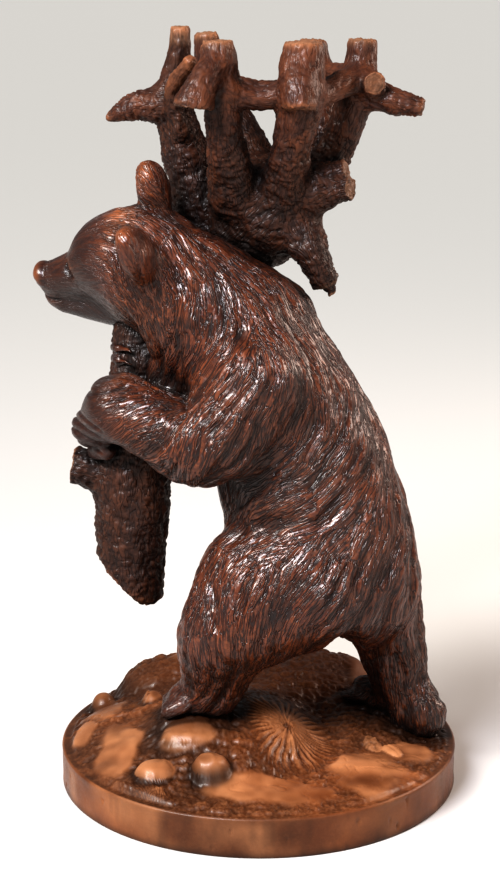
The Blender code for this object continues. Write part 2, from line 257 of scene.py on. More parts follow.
@frozen
class Swelling:
    """An ellipsoid, along the axes of the head or of the carving."""

    centre: tuple
    radii: tuple
    on_head: bool = True

    def distance(self, points: Array) -> Array:
        """Gives each point's distance to the ellipsoid, less than zero inside.

        With k the length of p/r and s that of p/r², the distance is close to k (k - 1) / s.

        Args:
            points: Places, one a row.

        Returns:
            The distances in millimetres.
        """
        away = points - np.array(self.centre, float)
        if self.on_head:
            away = away @ HEAD.axes.T
        radii = np.array(self.radii, float)
        near = np.sqrt(((away / radii) ** 2).sum(1))
        slope = np.sqrt(((away / radii**2) ** 2).sum(1))
        return near * (near - 1) / np.maximum(slope, TINY)

    def balls(self) -> Iterator[tuple]:
        """Gives the one ball that fills the ellipsoid."""
        yield self.centre, self.radii, HEAD.axes if self.on_head else np.eye(3)


def blend(one: Array, other: Array, soft: float) -> Array:
    """Joins two fields with a soft fillet: min(a, b) - h² k / 4, where h = max(k - |a - b|, 0) / k."""
    reach = np.maximum(soft - np.abs(one - other), 0) / soft
    return np.minimum(one, other) - reach * reach * soft / 4


@frozen
class Stage:
    """One step of the carving: a form that is added or hollowed out, and how soft the join is."""

    form: object
    soft: float
    hollow: bool = False
    reach_past: float = 45.0

    @cached_property
    def bounds(self) -> tuple:
        """The middle of the form and how far it reaches from there."""
        centres = np.array([centre for centre, _, _ in self.form.balls()], float)
        radii = np.array([max(radii) for _, radii, _ in self.form.balls()], float)
        middle = (centres.min(0) + centres.max(0)) / 2
        return middle, (np.linalg.norm(centres - middle, axis=1) + radii).max()

    def near(self, points: Array) -> Array:
        """Gives the indices of the points that lie near enough to the form for it to matter.

        Args:
            points: Places, one a row.

        Returns:
            The indices as whole numbers.
        """
        middle, reach = self.bounds
        away = points - middle
        return np.flatnonzero(np.einsum("ij,ij->i", away, away) < (reach + self.reach_past) ** 2)


@frozen
class Carving:
    """A form made by stages, one after another.

    Attributes:
        stages: The stages.
        least_slope: The least squared slope that a point is moved by.
        longest_move: The farthest that a point is moved at a time.
    """

    stages: tuple
    least_slope: float = 0.25
    longest_move: float = 4.0

    def distance(self, points: Array, start: Array = None) -> Array:
        """Gives each point's distance to the form, less than zero inside.

        Args:
            points: Places, one a row.
            start: A field that the stages are added to; none for empty air.

        Returns:
            The distances in millimetres.
        """
        value = np.full(len(points), 1000.0) if start is None else start.copy()
        for stage in self.stages:
            near = stage.near(points)
            form = stage.form.distance(points[near])
            if stage.hollow:
                value[near] = -blend(-value[near], form, stage.soft)
            else:
                value[near] = blend(value[near], form, stage.soft)
        return value

    def slope(self, points: Array, value: Array, small: float = 0.4) -> Array:
        """Gives the field's slope at each point by small steps along X, Y and Z."""
        steps = [self.distance(points + step) - value for step in np.eye(3) * small]
        return np.stack(steps, -1) / small

    def settle(self, points: Array, rounds: int) -> Array:
        """Moves every point along the slope until it lies on the surface (Newton's method).

        Args:
            points: Places, one a row.
            rounds: How many times each point is moved.

        Returns:
            The moved points.
        """
        for _ in range(rounds):
            value = self.distance(points)
            slope = self.slope(points, value)
            steep = np.maximum((slope**2).sum(1), self.least_slope)
            move = np.clip(value / steep, -self.longest_move, self.longest_move)
            points = points - slope * move[:, None]
        return points


# The bear, the tree and the ground


def head_stages() -> list:
    """Lists the forms of the head: skull, cheeks, muzzle, jaw, nose, brows, eyes and ears.

    Returns:
        The stages in the order in which they are carved.
    """
    at = HEAD.at
    stages = [
        Stage(Swelling(at(0, -6, 2), (48, 50, 47)), 20),
        Stage(Swelling(at(0, -20, -14), (56, 50, 50)), 16),
        Stage(Swelling(at(0, 22, 8), (34, 28, 29)), 16),
        Stage(Limb((at(0, 26, -8, 29), at(0, 76, -13, 18))), 14),
        Stage(Limb((at(0, 14, -52, 30), at(0, 75, -40, 16.5))), 12),
        Stage(Swelling(at(0, 90, -5), (14, 9, 11)), 6),
        Stage(Swelling(at(0, 88, -17), (12, 8, 12)), 4),
        Stage(Swelling(at(0, 84, -33), (15, 13, 12)), 6),
    ]
    for side in (-1, 1):
        stages += [
            Stage(Swelling(at(side * 15, 37, 14), (10, 11, 7)), 9),
            Stage(Swelling(at(side * 16, 50, 8), (7, 7, 6)), 5, True),
            Stage(Swelling(at(side * 14, 45.5, 8), (5, 5, 5)), 1.5),
            Stage(Swelling(at(side * 46, -37, 42), (21, 15, 30)), 13),
            Stage(Swelling(at(side * 49, -20, 46), (12, 9, 17)), 5, True),
        ]
    return stages


DIGITS_OF_A_PAW = 4


@frozen
class Digit:
    """A finger or toe with its claw."""

    flesh: Limb
    claw: Limb = None


def digits() -> list:
    """Lists the four fingers of each forepaw with their claws, and the four toes of each hind paw.

    Returns:
        The digits, in turn from each paw.
    """
    made = []
    for i in range(DIGITS_OF_A_PAW):
        middle = i in (1, 2)
        y, z = -158 + 3 * i, 392 - 12 * i
        made.append(Digit(
            Limb(((42, y, z, 9.5), (22, y - 13, z - 6, 8), (2, y - 12, z - 9, 7))),
            Limb(((0, y - 13, z - 9, 4.5), (-22, y - 2, z - 10, 1.8))),
        ))
        z = 452 - 12 * i
        made.append(Digit(
            Limb(((-18, -131, z, 9.5), (0, -139, z, 8), (14, -137, z, 7))),
            Limb(((14, -139, z, 4.5), (36, -122, z + 2 - i, 1.8))),
        ))
        x = 36 + 12 * i
        made.append(Digit(Limb(((x, -79 if middle else -75, 103, 9), (x, -92, 94, 6.5)))))
        x, y = -30 - 9 * i, 108 + 5 * i
        made.append(Digit(Limb(((x, y, 72, 9), (x - 11, y - 15, 66, 6.5)))))
    return made


DIGITS = digits()


def bear_stages() -> tuple:
    """Lists the forms of the bear, from the trunk of the body out to the digits.

    Returns:
        The stages in the order in which they are carved.
    """
    stages = [
        Stage(Limb((RUMP, HIPS, LOINS, RIBS, SHOULDERS, NECK), 0.98), 1),
        Stage(Swelling((18, 20, 320), (70, 56, 80), False), 30),
        Stage(Swelling((15, -14, 476), (60, 54, 52), False), 24),
        Stage(Swelling((12, 4, 475), (50, 49, 46), False), 16),
        Stage(Swelling((4, -84, 425), (44, 30, 42), False), 14),
        Stage(Limb((LEFT_HIP, LEFT_KNEE, LEFT_ANKLE)), 26),
        Stage(Swelling((58, 4, 226), (50, 64, 60), False), 22),
        Stage(Limb((LEFT_HEEL, LEFT_SOLE)), 14),
        Stage(Limb((RIGHT_HIP, RIGHT_KNEE, RIGHT_ANKLE, RIGHT_HEEL)), 24),
        Stage(Limb((RIGHT_HEEL, RIGHT_SOLE)), 14),
        Stage(Limb((LEFT_SHOULDER, LEFT_ELBOW, LEFT_WRIST)), 18),
        Stage(Limb((LEFT_WRIST, LEFT_PALM)), 14),
        Stage(Limb((RIGHT_SHOULDER, RIGHT_ELBOW, RIGHT_WRIST)), 18),
        Stage(Limb((RIGHT_WRIST, RIGHT_PALM)), 14),
        Stage(Limb(((-60, 84, 103, 22), (110, 84, 164, 22))), 8, True),
        *head_stages(),
    ]
    for digit in DIGITS:
        stages.append(Stage(digit.flesh, 2.5 if digit.claw else 4))
        if digit.claw:
            stages.append(Stage(digit.claw, 3))
    return tuple(stages)


def tree_limbs() -> list:
    """Lists the trunk, the six lopped uprights, the bars between them and the stubs.

    Returns:
        The limbs in the order in which they are joined.
    """
    trunk = (
        (-2, -131, 120, 30), (-2, -130, 200, 32), (-2, -128, 300, 38), (0, -126, 365, 34),
        (0, -118, 430, 28), (-20, -112, 478, 30), (-66, -75, 516, 36), (-62, -28, 548, 43),
        (-42, 6, 582, 54),
    )
    limbs = [Limb(trunk, slant=((0, -128, 199), (0, -1.05, -1)), pale=0.1)]
    uprights = (
        (((-60, -64, 556, 34), (-52, -62, 600, 28), (-50, -74, 642, 23), (-52, -85, 690, 17),
          (-44, -77, 740, 11), (-44, -76, 790, 9)), 760),
        (((-10, -25, 600, 26), (25, -32, 655, 18), (38, -36, 712, 18), (35, -42, 775, 12)), 749),
        (((-10, 22, 600, 26), (22, 30, 650, 19), (38, 40, 706, 22), (33, 41, 775, 15)), 748),
        (((-40, 50, 600, 24), (-33, 79, 650, 17), (-30, 96, 708, 17), (-30, 101, 775, 11)), 748),
        (((-65, 45, 603, 28), (-85, 60, 655, 20), (-104, 58, 710, 16), (-106, 50, 775, 12)), 745),
        (((-62, 0, 603, 28), (-96, -20, 660, 19), (-108, -48, 710, 15), (-106, -54, 775, 11)), 752),
    )
    limbs += [Limb(knots, top=top, pale=0.3) for knots, top in uprights]
    bars = (
        ((-28, -76, 660, 9), (-18, -84, 700, 8), (4, -66, 728, 7)),
        ((40, -34, 706, 12), (36, 0, 696, 11), (40, 36, 704, 12)),
        ((40, 40, 692, 13), (-16, 92, 712, 13)),
        ((-30, 94, 712, 12), (-102, 66, 712, 11)),
        ((-102, 60, 704, 11), (-114, 10, 694, 10), (-110, -46, 704, 11)),
        ((-108, -46, 704, 11), (-50, -90, 694, 12)),
        ((-45, -95, 684, 17), (-50, -122, 682, 14), (-52, -150, 670, 3)),
    )
    limbs += [Limb(knots) for knots in bars]
    bells = (
        (((38, -38, 734, 12), (62, -52, 712, 15), (70, -64, 684, 20)), ((72, -60, 690), (0.05, -0.15, -1))),
        (((38, 34, 728, 14), (56, 36, 708, 17), (62, 38, 680, 18)), ((62, 36, 688), (0.05, 0, -1))),
    )
    limbs += [Limb(knots, slant=cut, pale=0.3) for knots, cut in bells]
    stubs = (
        (((-28, 98, 700, 17), (-16, 130, 690, 13), (-10, 158, 684, 9)), 0.15),
        (((-26, 102, 706, 14), (4, 110, 708, 11)), 0.4),
        (((-20, 40, 606, 26), (2, 74, 622, 11), (6, 84, 625, 11)), 0.6),
        (((-16, 42, 596, 24), (4, 78, 607, 11), (10, 88, 609, 11)), 0.6),
        (((-20, 36, 570, 26), (-2, 50, 548, 18), (0, 66, 514, 13)), 0.7),
        (((0, -136, 318, 22), (4, -176, 330, 19), (4, -186, 332, 18)), 0.6),
        (((1, 64, 522, 6), (3, 69, 510, 5), (4, 72, 505, 4.5)), 1.0),
    )
    return limbs + [Limb(knots, blunt=True, pale=pale) for knots, pale in stubs]


def rises() -> list:
    """Lists the broad rises of the ground: centre, radii, softness.

    Returns:
        A row for each rise.
    """
    return [
        ((20, -40, 30), (120, 105, 62), 22),
        ((-95, 40, 40), (70, 95, 44), 22),
        ((-95, -90, 38), (60, 62, 50), 22),
        ((10, -135, 40), (70, 46, 24), 22),
        ((-40, 110, 30), (80, 60, 34), 22),
        ((90, -90, 32), (70, 60, 22), 22),
        ((54, -66, 56), (46, 46, 36), 14),
        ((-100, -112, 58), (34, 30, 18), 14),
        ((-112, 70, 65), (30, 48, 24), 14),
    ]


def pebbles() -> list:
    """Lists the stones that lie on the ground: centre, radii, softness.

    Returns:
        A row for each stone.
    """
    return [
        ((131, -47, 61), (17, 18, 15), 3),
        ((127, -101, 54), (18, 20, 12), 4),
        ((90, -67, 76), (13, 27, 7), 4),
        ((-12, -110, 74), (12, 11, 10), 5),
        ((-60, -166, 50), (14, 13, 13), 5),
    ]


BEAR = Carving(bear_stages())
TREE_LIMBS = tree_limbs()
TREE = Carving(tuple(
    Stage(limb, 1 if i == 0 else 9 if limb.top else 8) for i, limb in enumerate(TREE_LIMBS)
))
RISES = Carving(tuple(Stage(Swelling(c, r, False), soft) for c, r, soft in rises()))
PEBBLES = Carving(tuple(Stage(Swelling(c, r, False), soft) for c, r, soft in pebbles()))


def ground_dome(points: Array) -> Array:
    """Gives the distance to the low dome of ground.

    A dome of height h over a disc of radius r is a ball of radius (r² + h²) / 2h.

    Args:
        points: Places, one a row.

    Returns:
        The distances in millimetres.
    """
    reach = BASE.radius - BASE.ground_inset
    rise = BASE.ground_crown_rise - BASE.ground_edge_rise
    ball = (reach**2 + rise**2) / (2 * rise)
    crown = BASE.thickness + BASE.ground_crown_rise
    away = points - np.array([0, 0, crown - ball])
    return np.sqrt(np.einsum("ij,ij->i", away, away)) - ball


def ground_distance(points: Array) -> Array:
    """Gives the distance to the ground with its rocks."""
    return PEBBLES.distance(points, RISES.distance(points, ground_dome(points)))


def level_points(disc: Array, height: float = 0.0) -> Array:
    """Gives places on the ground as points at one height."""
    return np.column_stack([disc, np.full(len(disc), height)])


AIR_STEPS = (7.0, 22.0)


def painted_shade_openness(points: Array, normals: Array) -> Array:
    """Tells how open the space over each point is, from 0 in a deep crease to 1; the materials darken the
    colour by it as painted shade.

    A step of length s along the normal meets the whole figure's field f; f / s is 1 in the open.

    Args:
        points: Places, one a row.
        normals: Outward unit directions.

    Returns:
        A value from 0 to 1 for each point.
    """
    shade = np.zeros(len(points))
    for step in AIR_STEPS:
        over = points + normals * step
        figure = np.minimum(BEAR.distance(over), TREE.distance(over))
        value = np.minimum(figure, ground_distance(over))
        shade += np.clip(value / step, 0, 1) / len(AIR_STEPS)
    return shade


# Noise and streaks


@frozen
class Noise:
    """Smooth random values from -1 to 1 on a lattice, the same on every run."""

    cell: float
    seed: int
    side: int = 64

    @cached_property
    def table(self) -> Array:
        """The lattice's random values."""
        return np.random.default_rng(self.seed).uniform(-1, 1, self.side**3).astype(np.float32)

    def __call__(self, points: Array) -> Array:
        """Gives the value at each point, blended between the eight lattice points about it.

        Args:
            points: Places, one a row.

        Returns:
            A value from -1 to 1 for each point.
        """
        scaled = points / self.cell
        low = np.floor(scaled)
        share = (scaled - low).astype(np.float32)
        share = share * share * (3 - 2 * share)
        low = low.astype(np.int64) % self.side
        high = (low + 1) % self.side
        x0, x1 = low[:, 0] * self.side**2, high[:, 0] * self.side**2
        y0, y1 = low[:, 1] * self.side, high[:, 1] * self.side
        z0, z1 = low[:, 2], high[:, 2]
        u, v, w = share.T

        def row(x: Array, y: Array) -> Array:
            """Blends the values of a row of the lattice along Z."""
            return self.table[x + y + z0] * (1 - w) + self.table[x + y + z1] * w

        front = row(x0, y0) * (1 - v) + row(x0, y1) * v
        back = row(x1, y0) * (1 - v) + row(x1, y1) * v
        return front * (1 - u) + back * u


@frozen
class Streaks:
    """Noise that is drawn out along a direction, as hairs and bark are.

    Attributes:
        noise: The noise that is drawn out.
        length: How far it is drawn each way.
        steps: How many samples are taken each way.
    """

    noise: Noise
    length: float
    steps: int = 6

    def __call__(self, points: Array, direction: Callable) -> Array:
        """Gives streak values with a spread of 1.

        Args:
            points: Where the values are wanted.
            direction: A function from points to unit directions.

        Returns:
            A value for each point, with a middle of 0.
        """
        total = self.noise(points)
        step = self.length / self.steps
        for sign in (1.0, -1.0):
            place = points
            for i in range(self.steps):
                if i % 2 == 0:
                    way = direction(place)
                place = place + way * (step * sign)
                weight = 0.5 + 0.5 * math.cos(math.pi * (i + 1) / (self.steps + 1))
                total = total + weight * self.noise(place)
        return (total - total.mean()) / total.std()


def unit(vectors: Array) -> Array:
    """Gives the vectors with length 1."""
    return vectors / np.maximum(np.sqrt(np.einsum("ij,ij->i", vectors, vectors)), TINY)[:, None]


def ramp(value: Array, start: float, end: float) -> Array:
    """Gives 0 before start and 1 after end, with a smooth turn between them."""
    share = np.clip((value - start) / (end - start), 0, 1)
    return share * share * (3 - 2 * share)


# Meshes


@dataclass
class Net:
    """A closed mesh as arrays.

    Attributes:
        corners: Places in millimetres.
        faces: Four corners for each face.
        values: By name, a value for each corner.
        lays: By name, a vector for each corner of each face.
    """

    corners: Array
    faces: Array
    values: dict = field(default_factory=dict)
    lays: dict = field(default_factory=dict)

    @cached_property
    def edges(self) -> Array:
        """Each side of each face as a pair of corners, both ways round."""
        ring = np.stack([self.faces, np.roll(self.faces, -1, axis=1)], -1).reshape(-1, 2)
        return np.vstack([ring, ring[:, ::-1]])

    def spread(self, values: Array, rounds: int = 1) -> Array:
        """Evens out values between neighbouring corners.

        Args:
            values: One value or row for each corner.
            rounds: How many times they are evened out.

        Returns:
            The evened values, in the same shape.
        """
        one, other = self.edges.T
        count = np.bincount(one, minlength=len(self.corners))
        values = values.reshape(len(self.corners), -1)
        for _ in range(rounds):
            sums = [np.bincount(one, values[other, i], len(self.corners)) for i in range(values.shape[1])]
            values = 0.5 * values + 0.5 * np.stack(sums, -1) / count[:, None]
        return values.squeeze()

    def normals(self) -> Array:
        """Gives each corner's outward unit normal, from the diagonals of the faces about it.

        Returns:
            A unit direction for each corner.
        """
        a, b, c, d = (self.corners[self.faces[:, i]] for i in range(4))
        face = np.cross(c - a, d - b)
        total = np.zeros_like(self.corners)
        for i in range(3):
            for j in range(4):
                total[:, i] += np.bincount(self.faces[:, j], face[:, i], len(self.corners))
        return unit(total)

    def bulge(self, normals: Array, rounds: int) -> Array:
        """Tells how far each corner stands out from its neighbourhood, in millimetres."""
        even = self.spread(self.corners, rounds)
        return np.einsum("ij,ij->i", self.corners - even, normals)

    def part(self, chosen: Array) -> "Net":
        """Gives the net of some of the faces.

        Args:
            chosen: Whether each face is taken.

        Returns:
            The smaller net, with its values and lays.
        """
        used, flat = np.unique(self.faces[chosen], return_inverse=True)
        values = {key: value[used] for key, value in self.values.items()}
        lays = {key: value[chosen] for key, value in self.lays.items()}
        return Net(self.corners[used], flat.reshape(-1, 4), values, lays)

    def mesh(self, name: str, loops: list = ()) -> Mesh:
        """Makes the Blender mesh, in metres, with the values and lays as attributes.

        Args:
            name: The mesh's name.
            loops: Open seams to be closed by fans, each a list of corners in the faces' own turn.

        Returns:
            The finished mesh.
        """
        middles = [self.corners[loop].mean(0) for loop in loops]
        corners = np.vstack([self.corners, *middles]) if middles else self.corners
        fans = [
            np.stack([np.roll(loop, -1), loop, np.full(len(loop), len(self.corners) + i)], -1)
            for i, loop in enumerate(loops)
        ]
        fans = np.vstack(fans) if fans else np.zeros((0, 3), int)
        counts = np.concatenate([np.full(len(self.faces), 4), np.full(len(fans), 3)])
        made = bpy.data.meshes.new(name)
        made.vertices.add(len(corners))
        made.vertices.foreach_set("co", (corners * MM).astype(np.float32).ravel())
        made.loops.add(counts.sum())
        order = np.concatenate([self.faces.ravel(), fans.ravel()]).astype(np.int32)
        made.loops.foreach_set("vertex_index", order)
        made.polygons.add(len(counts))
        made.polygons.foreach_set("loop_start", (np.cumsum(counts) - counts).astype(np.int32))
        made.update(calc_edges=True)
        made.polygons.foreach_set("use_smooth", counts == 4)
        self.sharpen(made, loops)
        for key, values in self.values.items():
            ends = [[values[loop].mean()] for loop in loops]
            layer = made.attributes.new(key, "FLOAT", "POINT")
            layer.data.foreach_set("value", np.concatenate([values, *ends]).astype(np.float32))
        for key, places in self.lays.items():
            layer = made.attributes.new(key, "FLOAT_VECTOR", "CORNER")
            flat = np.concatenate([places.ravel(), np.zeros(fans.size * 3)])
            layer.data.foreach_set("vector", flat.astype(np.float32))
        return made

    @staticmethod
    def sharpen(made: Mesh, loops: list) -> None:
        """Keeps the shading apart on both sides of the closed seams.

        Args:
            made: The mesh.
            loops: Its closed seams.
        """
        seam = {tuple(sorted(pair)) for loop in loops for pair in zip(loop, np.roll(loop, -1))}
        if not seam:
            return
        ends = np.empty(len(made.edges) * 2, np.int32)
        made.edges.foreach_get("vertices", ends)
        ends = np.sort(ends.reshape(-1, 2), axis=1)
        sharp = np.isin(ends[:, 0], [low for low, _ in seam])
        for i in np.flatnonzero(sharp):
            sharp[i] = tuple(ends[i]) in seam
        layer = made.attributes.new("sharp_edge", "BOOLEAN", "EDGE")
        layer.data.foreach_set("value", sharp)


@frozen
class Lay:
    """Overlapping flat patches of a surface that say how hair or bark runs there.

    A place in a patch is told by how far it is across and along the patch's own way, so that the
    material can draw strokes as finely as it likes. Each coat of patches fades at its borders,
    where another coat covers it.

    Attributes:
        size: Distance between the middles of a coat's patches.
        turn: Millimetres that a turn of one radian counts for in it.
        edge: Width over which a patch fades.
        coats: Number of coats.
        first_seed: Seed of the first coat; the next coats count on from it.
        tries: Corners drawn as middles for a coat.
        least_weight: A coat's weight at a patch's border.
        rows_at_once: Corners compared with the middles at a time.
    """

    size: float = 27.0
    turn: float = 24.0
    edge: float = 7.0
    coats: int = 3
    first_seed: int = 70
    tries: int = 9000
    least_weight: float = 0.002
    rows_at_once: int = 8000

    def cover(self, net: Net, normals: Array, ways: Array) -> None:
        """Adds the patches' places and weights to the net as lay0, lap0 and so on.

        Args:
            net: The net that gets the patches.
            normals: Outward unit directions.
            ways: The way of the hair at each corner.
        """
        key = np.hstack([net.corners, normals * self.turn])
        for coat in range(self.coats):
            middles = self.middles(key, coat)
            nearest, margin = self.nearest(key, key[middles])
            owner = nearest[net.faces[:, 0]]
            heart = middles[owner]
            along = ways[heart]
            across = np.cross(normals[heart], along)
            away = net.corners[net.faces] - net.corners[heart][:, None]
            share = [np.einsum("fcx,fx->fc", away, axis) for axis in (across, along)]
            tag = np.repeat(owner[:, None] * 1.0, 4, axis=1)
            net.lays[f"lay{coat}"] = np.stack([*share, tag], -1)
            net.values[f"lap{coat}"] = ramp(margin, 0.0, self.edge) + self.least_weight

    def middles(self, key: Array, coat: int) -> Array:
        """Picks corners that are no nearer to each other than the patch size.

        Args:
            key: Rows that tell the corners apart by place and turn.
            coat: The coat's number.

        Returns:
            The indices of the picked corners.
        """
        tries = np.random.default_rng(self.first_seed + coat).permutation(len(key))[:self.tries]
        free = np.ones(len(tries), bool)
        picked = []
        while free.any():
            pick = tries[np.argmax(free)]
            picked.append(pick)
            away = key[tries] - key[pick]
            free &= np.einsum("ij,ij->i", away, away) > self.size**2
        return np.array(picked)

    def nearest(self, key: Array, middles: Array) -> tuple:
        """Gives each corner's nearest middle, and how much farther the second nearest is.

        Args:
            key: Rows for the corners.
            middles: The same for the middles.

        Returns:
            The number of the nearest middle, and the margin to the second.
        """
        best, margin = [], []
        sizes = (middles**2).sum(1)
        for some in np.array_split(key, max(1, len(key) // self.rows_at_once)):
            away = (some**2).sum(1)[:, None] + sizes - 2 * some @ middles.T
            two = np.argpartition(away, 1, axis=1)[:, :2]
            gaps = np.sqrt(np.maximum(np.take_along_axis(away, two, 1), 0))
            best.append(np.take_along_axis(two, gaps.argmin(1)[:, None], 1)[:, 0])
            margin.append(np.abs(gaps[:, 1] - gaps[:, 0]))
        return np.concatenate(best), np.concatenate(margin)


def mesh_arrays(mesh: Mesh) -> tuple:
    """Gives the corners in millimetres and the four-sided faces of a mesh.

    Args:
        mesh: A mesh of faces with four sides.

    Returns:
        The corners and the faces.
    """
    corners = np.empty(len(mesh.vertices) * 3, np.float32)
    mesh.vertices.foreach_get("co", corners)
    faces = np.empty(len(mesh.loops), np.int32)
    mesh.loops.foreach_get("vertex_index", faces)
    return corners.reshape(-1, 3).astype(float) / MM, faces.reshape(-1, 4)


def worked(mesh: Mesh, kind: str, **settings) -> Mesh:
    """Gives the mesh with one modifier worked in.

    Args:
        mesh: The mesh, which is used up.
        kind: The modifier's type.
        settings: The modifier's own settings.

    Returns:
        The new mesh.
    """
    made = bpy.data.objects.new("worked", mesh)
    bpy.context.scene.collection.objects.link(made)
    modifier = made.modifiers.new("work", kind)
    for key, value in settings.items():
        setattr(modifier, key, value)
    shown = bpy.context.evaluated_depsgraph_get()
    result = bpy.data.meshes.new_from_object(made.evaluated_get(shown))
    bpy.data.objects.remove(made, do_unlink=True)
    bpy.data.meshes.remove(mesh)
    return result


def unit_ball() -> tuple:
    """Gives the corners and triangles of a ball of radius 1 with 80 faces.

    Returns:
        The corners and the faces.
    """
    net = bmesh.new()
    bmesh.ops.create_icosphere(net, subdivisions=2, radius=1.0)
    corners = np.array([corner.co[:] for corner in net.verts])
    faces = np.array([[corner.index for corner in face.verts] for face in net.faces])
    net.free()
    return corners, faces


def wrapped(carving: Carving, size: float) -> Net:
    """Fills the carving with balls, wraps them in a net, settles it and divides it once.

    Args:
        carving: The form.
        size: The width of the net's faces before they are divided.

    Returns:
        The settled net.
    """
    ball, ball_faces = unit_ball()
    corners, faces, count = [], [], 0
    for stage in carving.stages:
        if stage.hollow:
            continue
        for centre, radii, axes in stage.form.balls():
            corners.append((ball * radii) @ axes + centre)
            faces.append(ball_faces + count)
            count += len(ball)
    rough = bpy.data.meshes.new("rough")
    rough.from_pydata(np.vstack(corners) * MM, [], np.vstack(faces))
    rough = worked(rough, "REMESH", mode="VOXEL", voxel_size=size * MM)
    net = Net(*mesh_arrays(rough))
    bpy.data.meshes.remove(rough)
    net.corners = carving.settle(net.corners, 4)
    for _ in range(2):
        net.corners = carving.settle(net.spread(net.corners), 1)
    smooth = worked(net.mesh("coarse"), "SUBSURF", levels=1, render_levels=1)
    fine = Net(*mesh_arrays(smooth))
    bpy.data.meshes.remove(smooth)
    LOG.info("wrapped %d faces", len(fine.faces))
    return fine


# Fur


@frozen
class Combed:
    """A place on the coat and the way the hair lies there."""

    place: tuple
    way: tuple
    reach: float = 36.0
    mirrored: bool = True


def combed_places() -> list:
    """Lists how the coat lies, from the nose back over the body to the paws.

    Returns:
        All places, those of the head first.
    """
    at, (left, fore, up) = HEAD.at, HEAD.axes
    back = tuple(-fore)
    down = tuple(-0.5 * fore - 0.8 * up)
    head = [
        (at(0, 80, -5), back, 20), (at(0, 40, 25), tuple(-fore + 0.3 * up), 22), (at(0, 0, 45), back, 26),
        (at(26, 60, -20), tuple(-fore - 0.2 * up), 16), (at(-26, 60, -20), tuple(-fore - 0.2 * up), 16),
        (at(36, 25, 5), tuple(-fore + 0.1 * up), 18), (at(-36, 25, 5), tuple(-fore + 0.1 * up), 18),
        (at(50, -10, -20), down, 24), (at(-50, -10, -20), down, 24),
        (at(40, 10, -50), down, 24), (at(-40, 10, -50), down, 24), (at(0, 20, -70), down, 24),
    ]
    body = [
        ((50, -90, 545), (0.1, 0.45, -0.9)), ((20, -9, 539), (0, 0.75, -0.65)),
        ((65, -47, 519), (0, 0.2, -1)), ((62, -80, 490), (0, -0.1, -1)), ((60, 3, 494), (0, 0.25, -1)),
        ((85, -9, 470), (0, -0.05, -1)), ((60, 50, 437), (0, 0.1, -1)),
        ((110, -39, 447), (0, -0.4, -0.9)), ((78, 29, 391), (0, -0.5, -0.85)),
        ((118, -51, 376), (0, -0.25, -1)), ((90, -104, 408), (-0.2, -0.8, -0.5)),
        ((60, -150, 400), (-0.5, -0.8, -0.3)), ((88, 87, 339), (0, -0.7, -0.7)),
        ((95, 39, 321), (0, -0.85, -0.5)), ((85, 1, 298), (0, -0.95, -0.25)),
        ((75, 118, 275), (0, -0.5, -0.87)), ((98, 68, 252), (0, -0.75, -0.65)),
        ((108, 30, 225), (0, -0.45, -0.9)), ((112, -19, 185), (0, 0.1, -1)),
        ((95, -53, 210), (0, 0.3, -1)), ((90, 30, 167), (0, -0.15, -1)), ((80, -58, 132), (0, -0.2, -1)),
        ((80, 110, 330), (0, -0.75, -0.65)), ((72, 112, 385), (0, -0.55, -0.8)),
        ((75, 78, 415), (0, -0.4, -0.9)), ((64, 138, 262), (0, -0.55, -0.83)),
        ((92, 62, 292), (0, -0.85, -0.5)), ((60, 128, 200), (0, -0.3, -0.95)),
        ((60, -100, 105), (0, -1, -0.3)), ((40, -40, 440), (0, -0.3, -1)),
        ((40, -10, 400), (-0.3, -0.5, -0.9)),
    ]
    ridge = [
        ((20, 64, 467), (0, 0.5, -0.87)), ((20, 110, 382), (0, 0.35, -0.93)),
        ((20, 143, 300), (0, 0.12, -1)), ((20, 155, 216), (0, 0.0, -1)), ((10, 140, 105), (0, 0.15, -1)),
        ((-10, 150, 140), (0, 0.1, -1)), ((2, 180, 60), (0, 0.2, -1)),
        ((-40, 110, 72), (-0.6, -0.7, -0.3)), ((18, -35, 320), (0, -0.1, -1)),
        ((18, -20, 250), (0, 0.1, -1)), ((18, 40, 140), (0, 0.3, -1)),
    ]
    places = [Combed(place, way, reach, False) for place, way, reach in head]
    places += [Combed(place, way) for place, way in body]
    return places + [Combed(place, way, 40, False) for place, way in ridge]


@frozen
class Coat:
    """The lie of the hair over the bear."""

    places: tuple
    wave: float = 0.42
    wave_noise: Noise = Noise(21.0, 11)

    @cached_property
    def guides(self) -> tuple:
        """Centres, directions and reaches of all places, mirrored ones included."""
        rows = []
        for item in self.places:
            rows.append((*item.place, *item.way, item.reach))
            if item.mirrored:
                x, y, z = item.place
                rows.append((2 * MIDDLE_OF_BODY - x, y, z, -item.way[0], *item.way[1:], item.reach))
        rows = np.array(rows, float)
        return rows[:, :3], unit(rows[:, 3:6]), rows[:, 6]

    def raw(self, points: Array) -> Array:
        """Gives the unit direction in which the hair lies, before it is laid on the skin.

        Each place counts with exp(-d² / 2r²) for distance d and reach r.

        Args:
            points: Places, one a row.

        Returns:
            A unit direction for each point.
        """
        centres, ways, reaches = self.guides
        total = np.zeros_like(points)
        for centre, way, reach in zip(centres, ways, reaches):
            away = points - centre
            weight = np.exp(-np.einsum("ij,ij->i", away, away) / (2 * reach**2)) + TINY
            total += weight[:, None] * way
        return unit(total)

    def lie(self, normals: Array) -> Callable:
        """Gives a function from points to directions that lie on the skin and wave a little.

        Args:
            normals: Outward unit directions.

        Returns:
            The function, which takes as many points as there are normals.
        """

        def direction(points: Array) -> Array:
            """Gives the unit directions at the points."""
            way = self.raw(points)
            way = unit(way - np.einsum("ij,ij->i", way, normals)[:, None] * normals)
            side = np.cross(normals, way)
            turn = self.wave * self.wave_noise(points)
            return way * np.cos(turn)[:, None] + side * np.sin(turn)[:, None]

        return direction


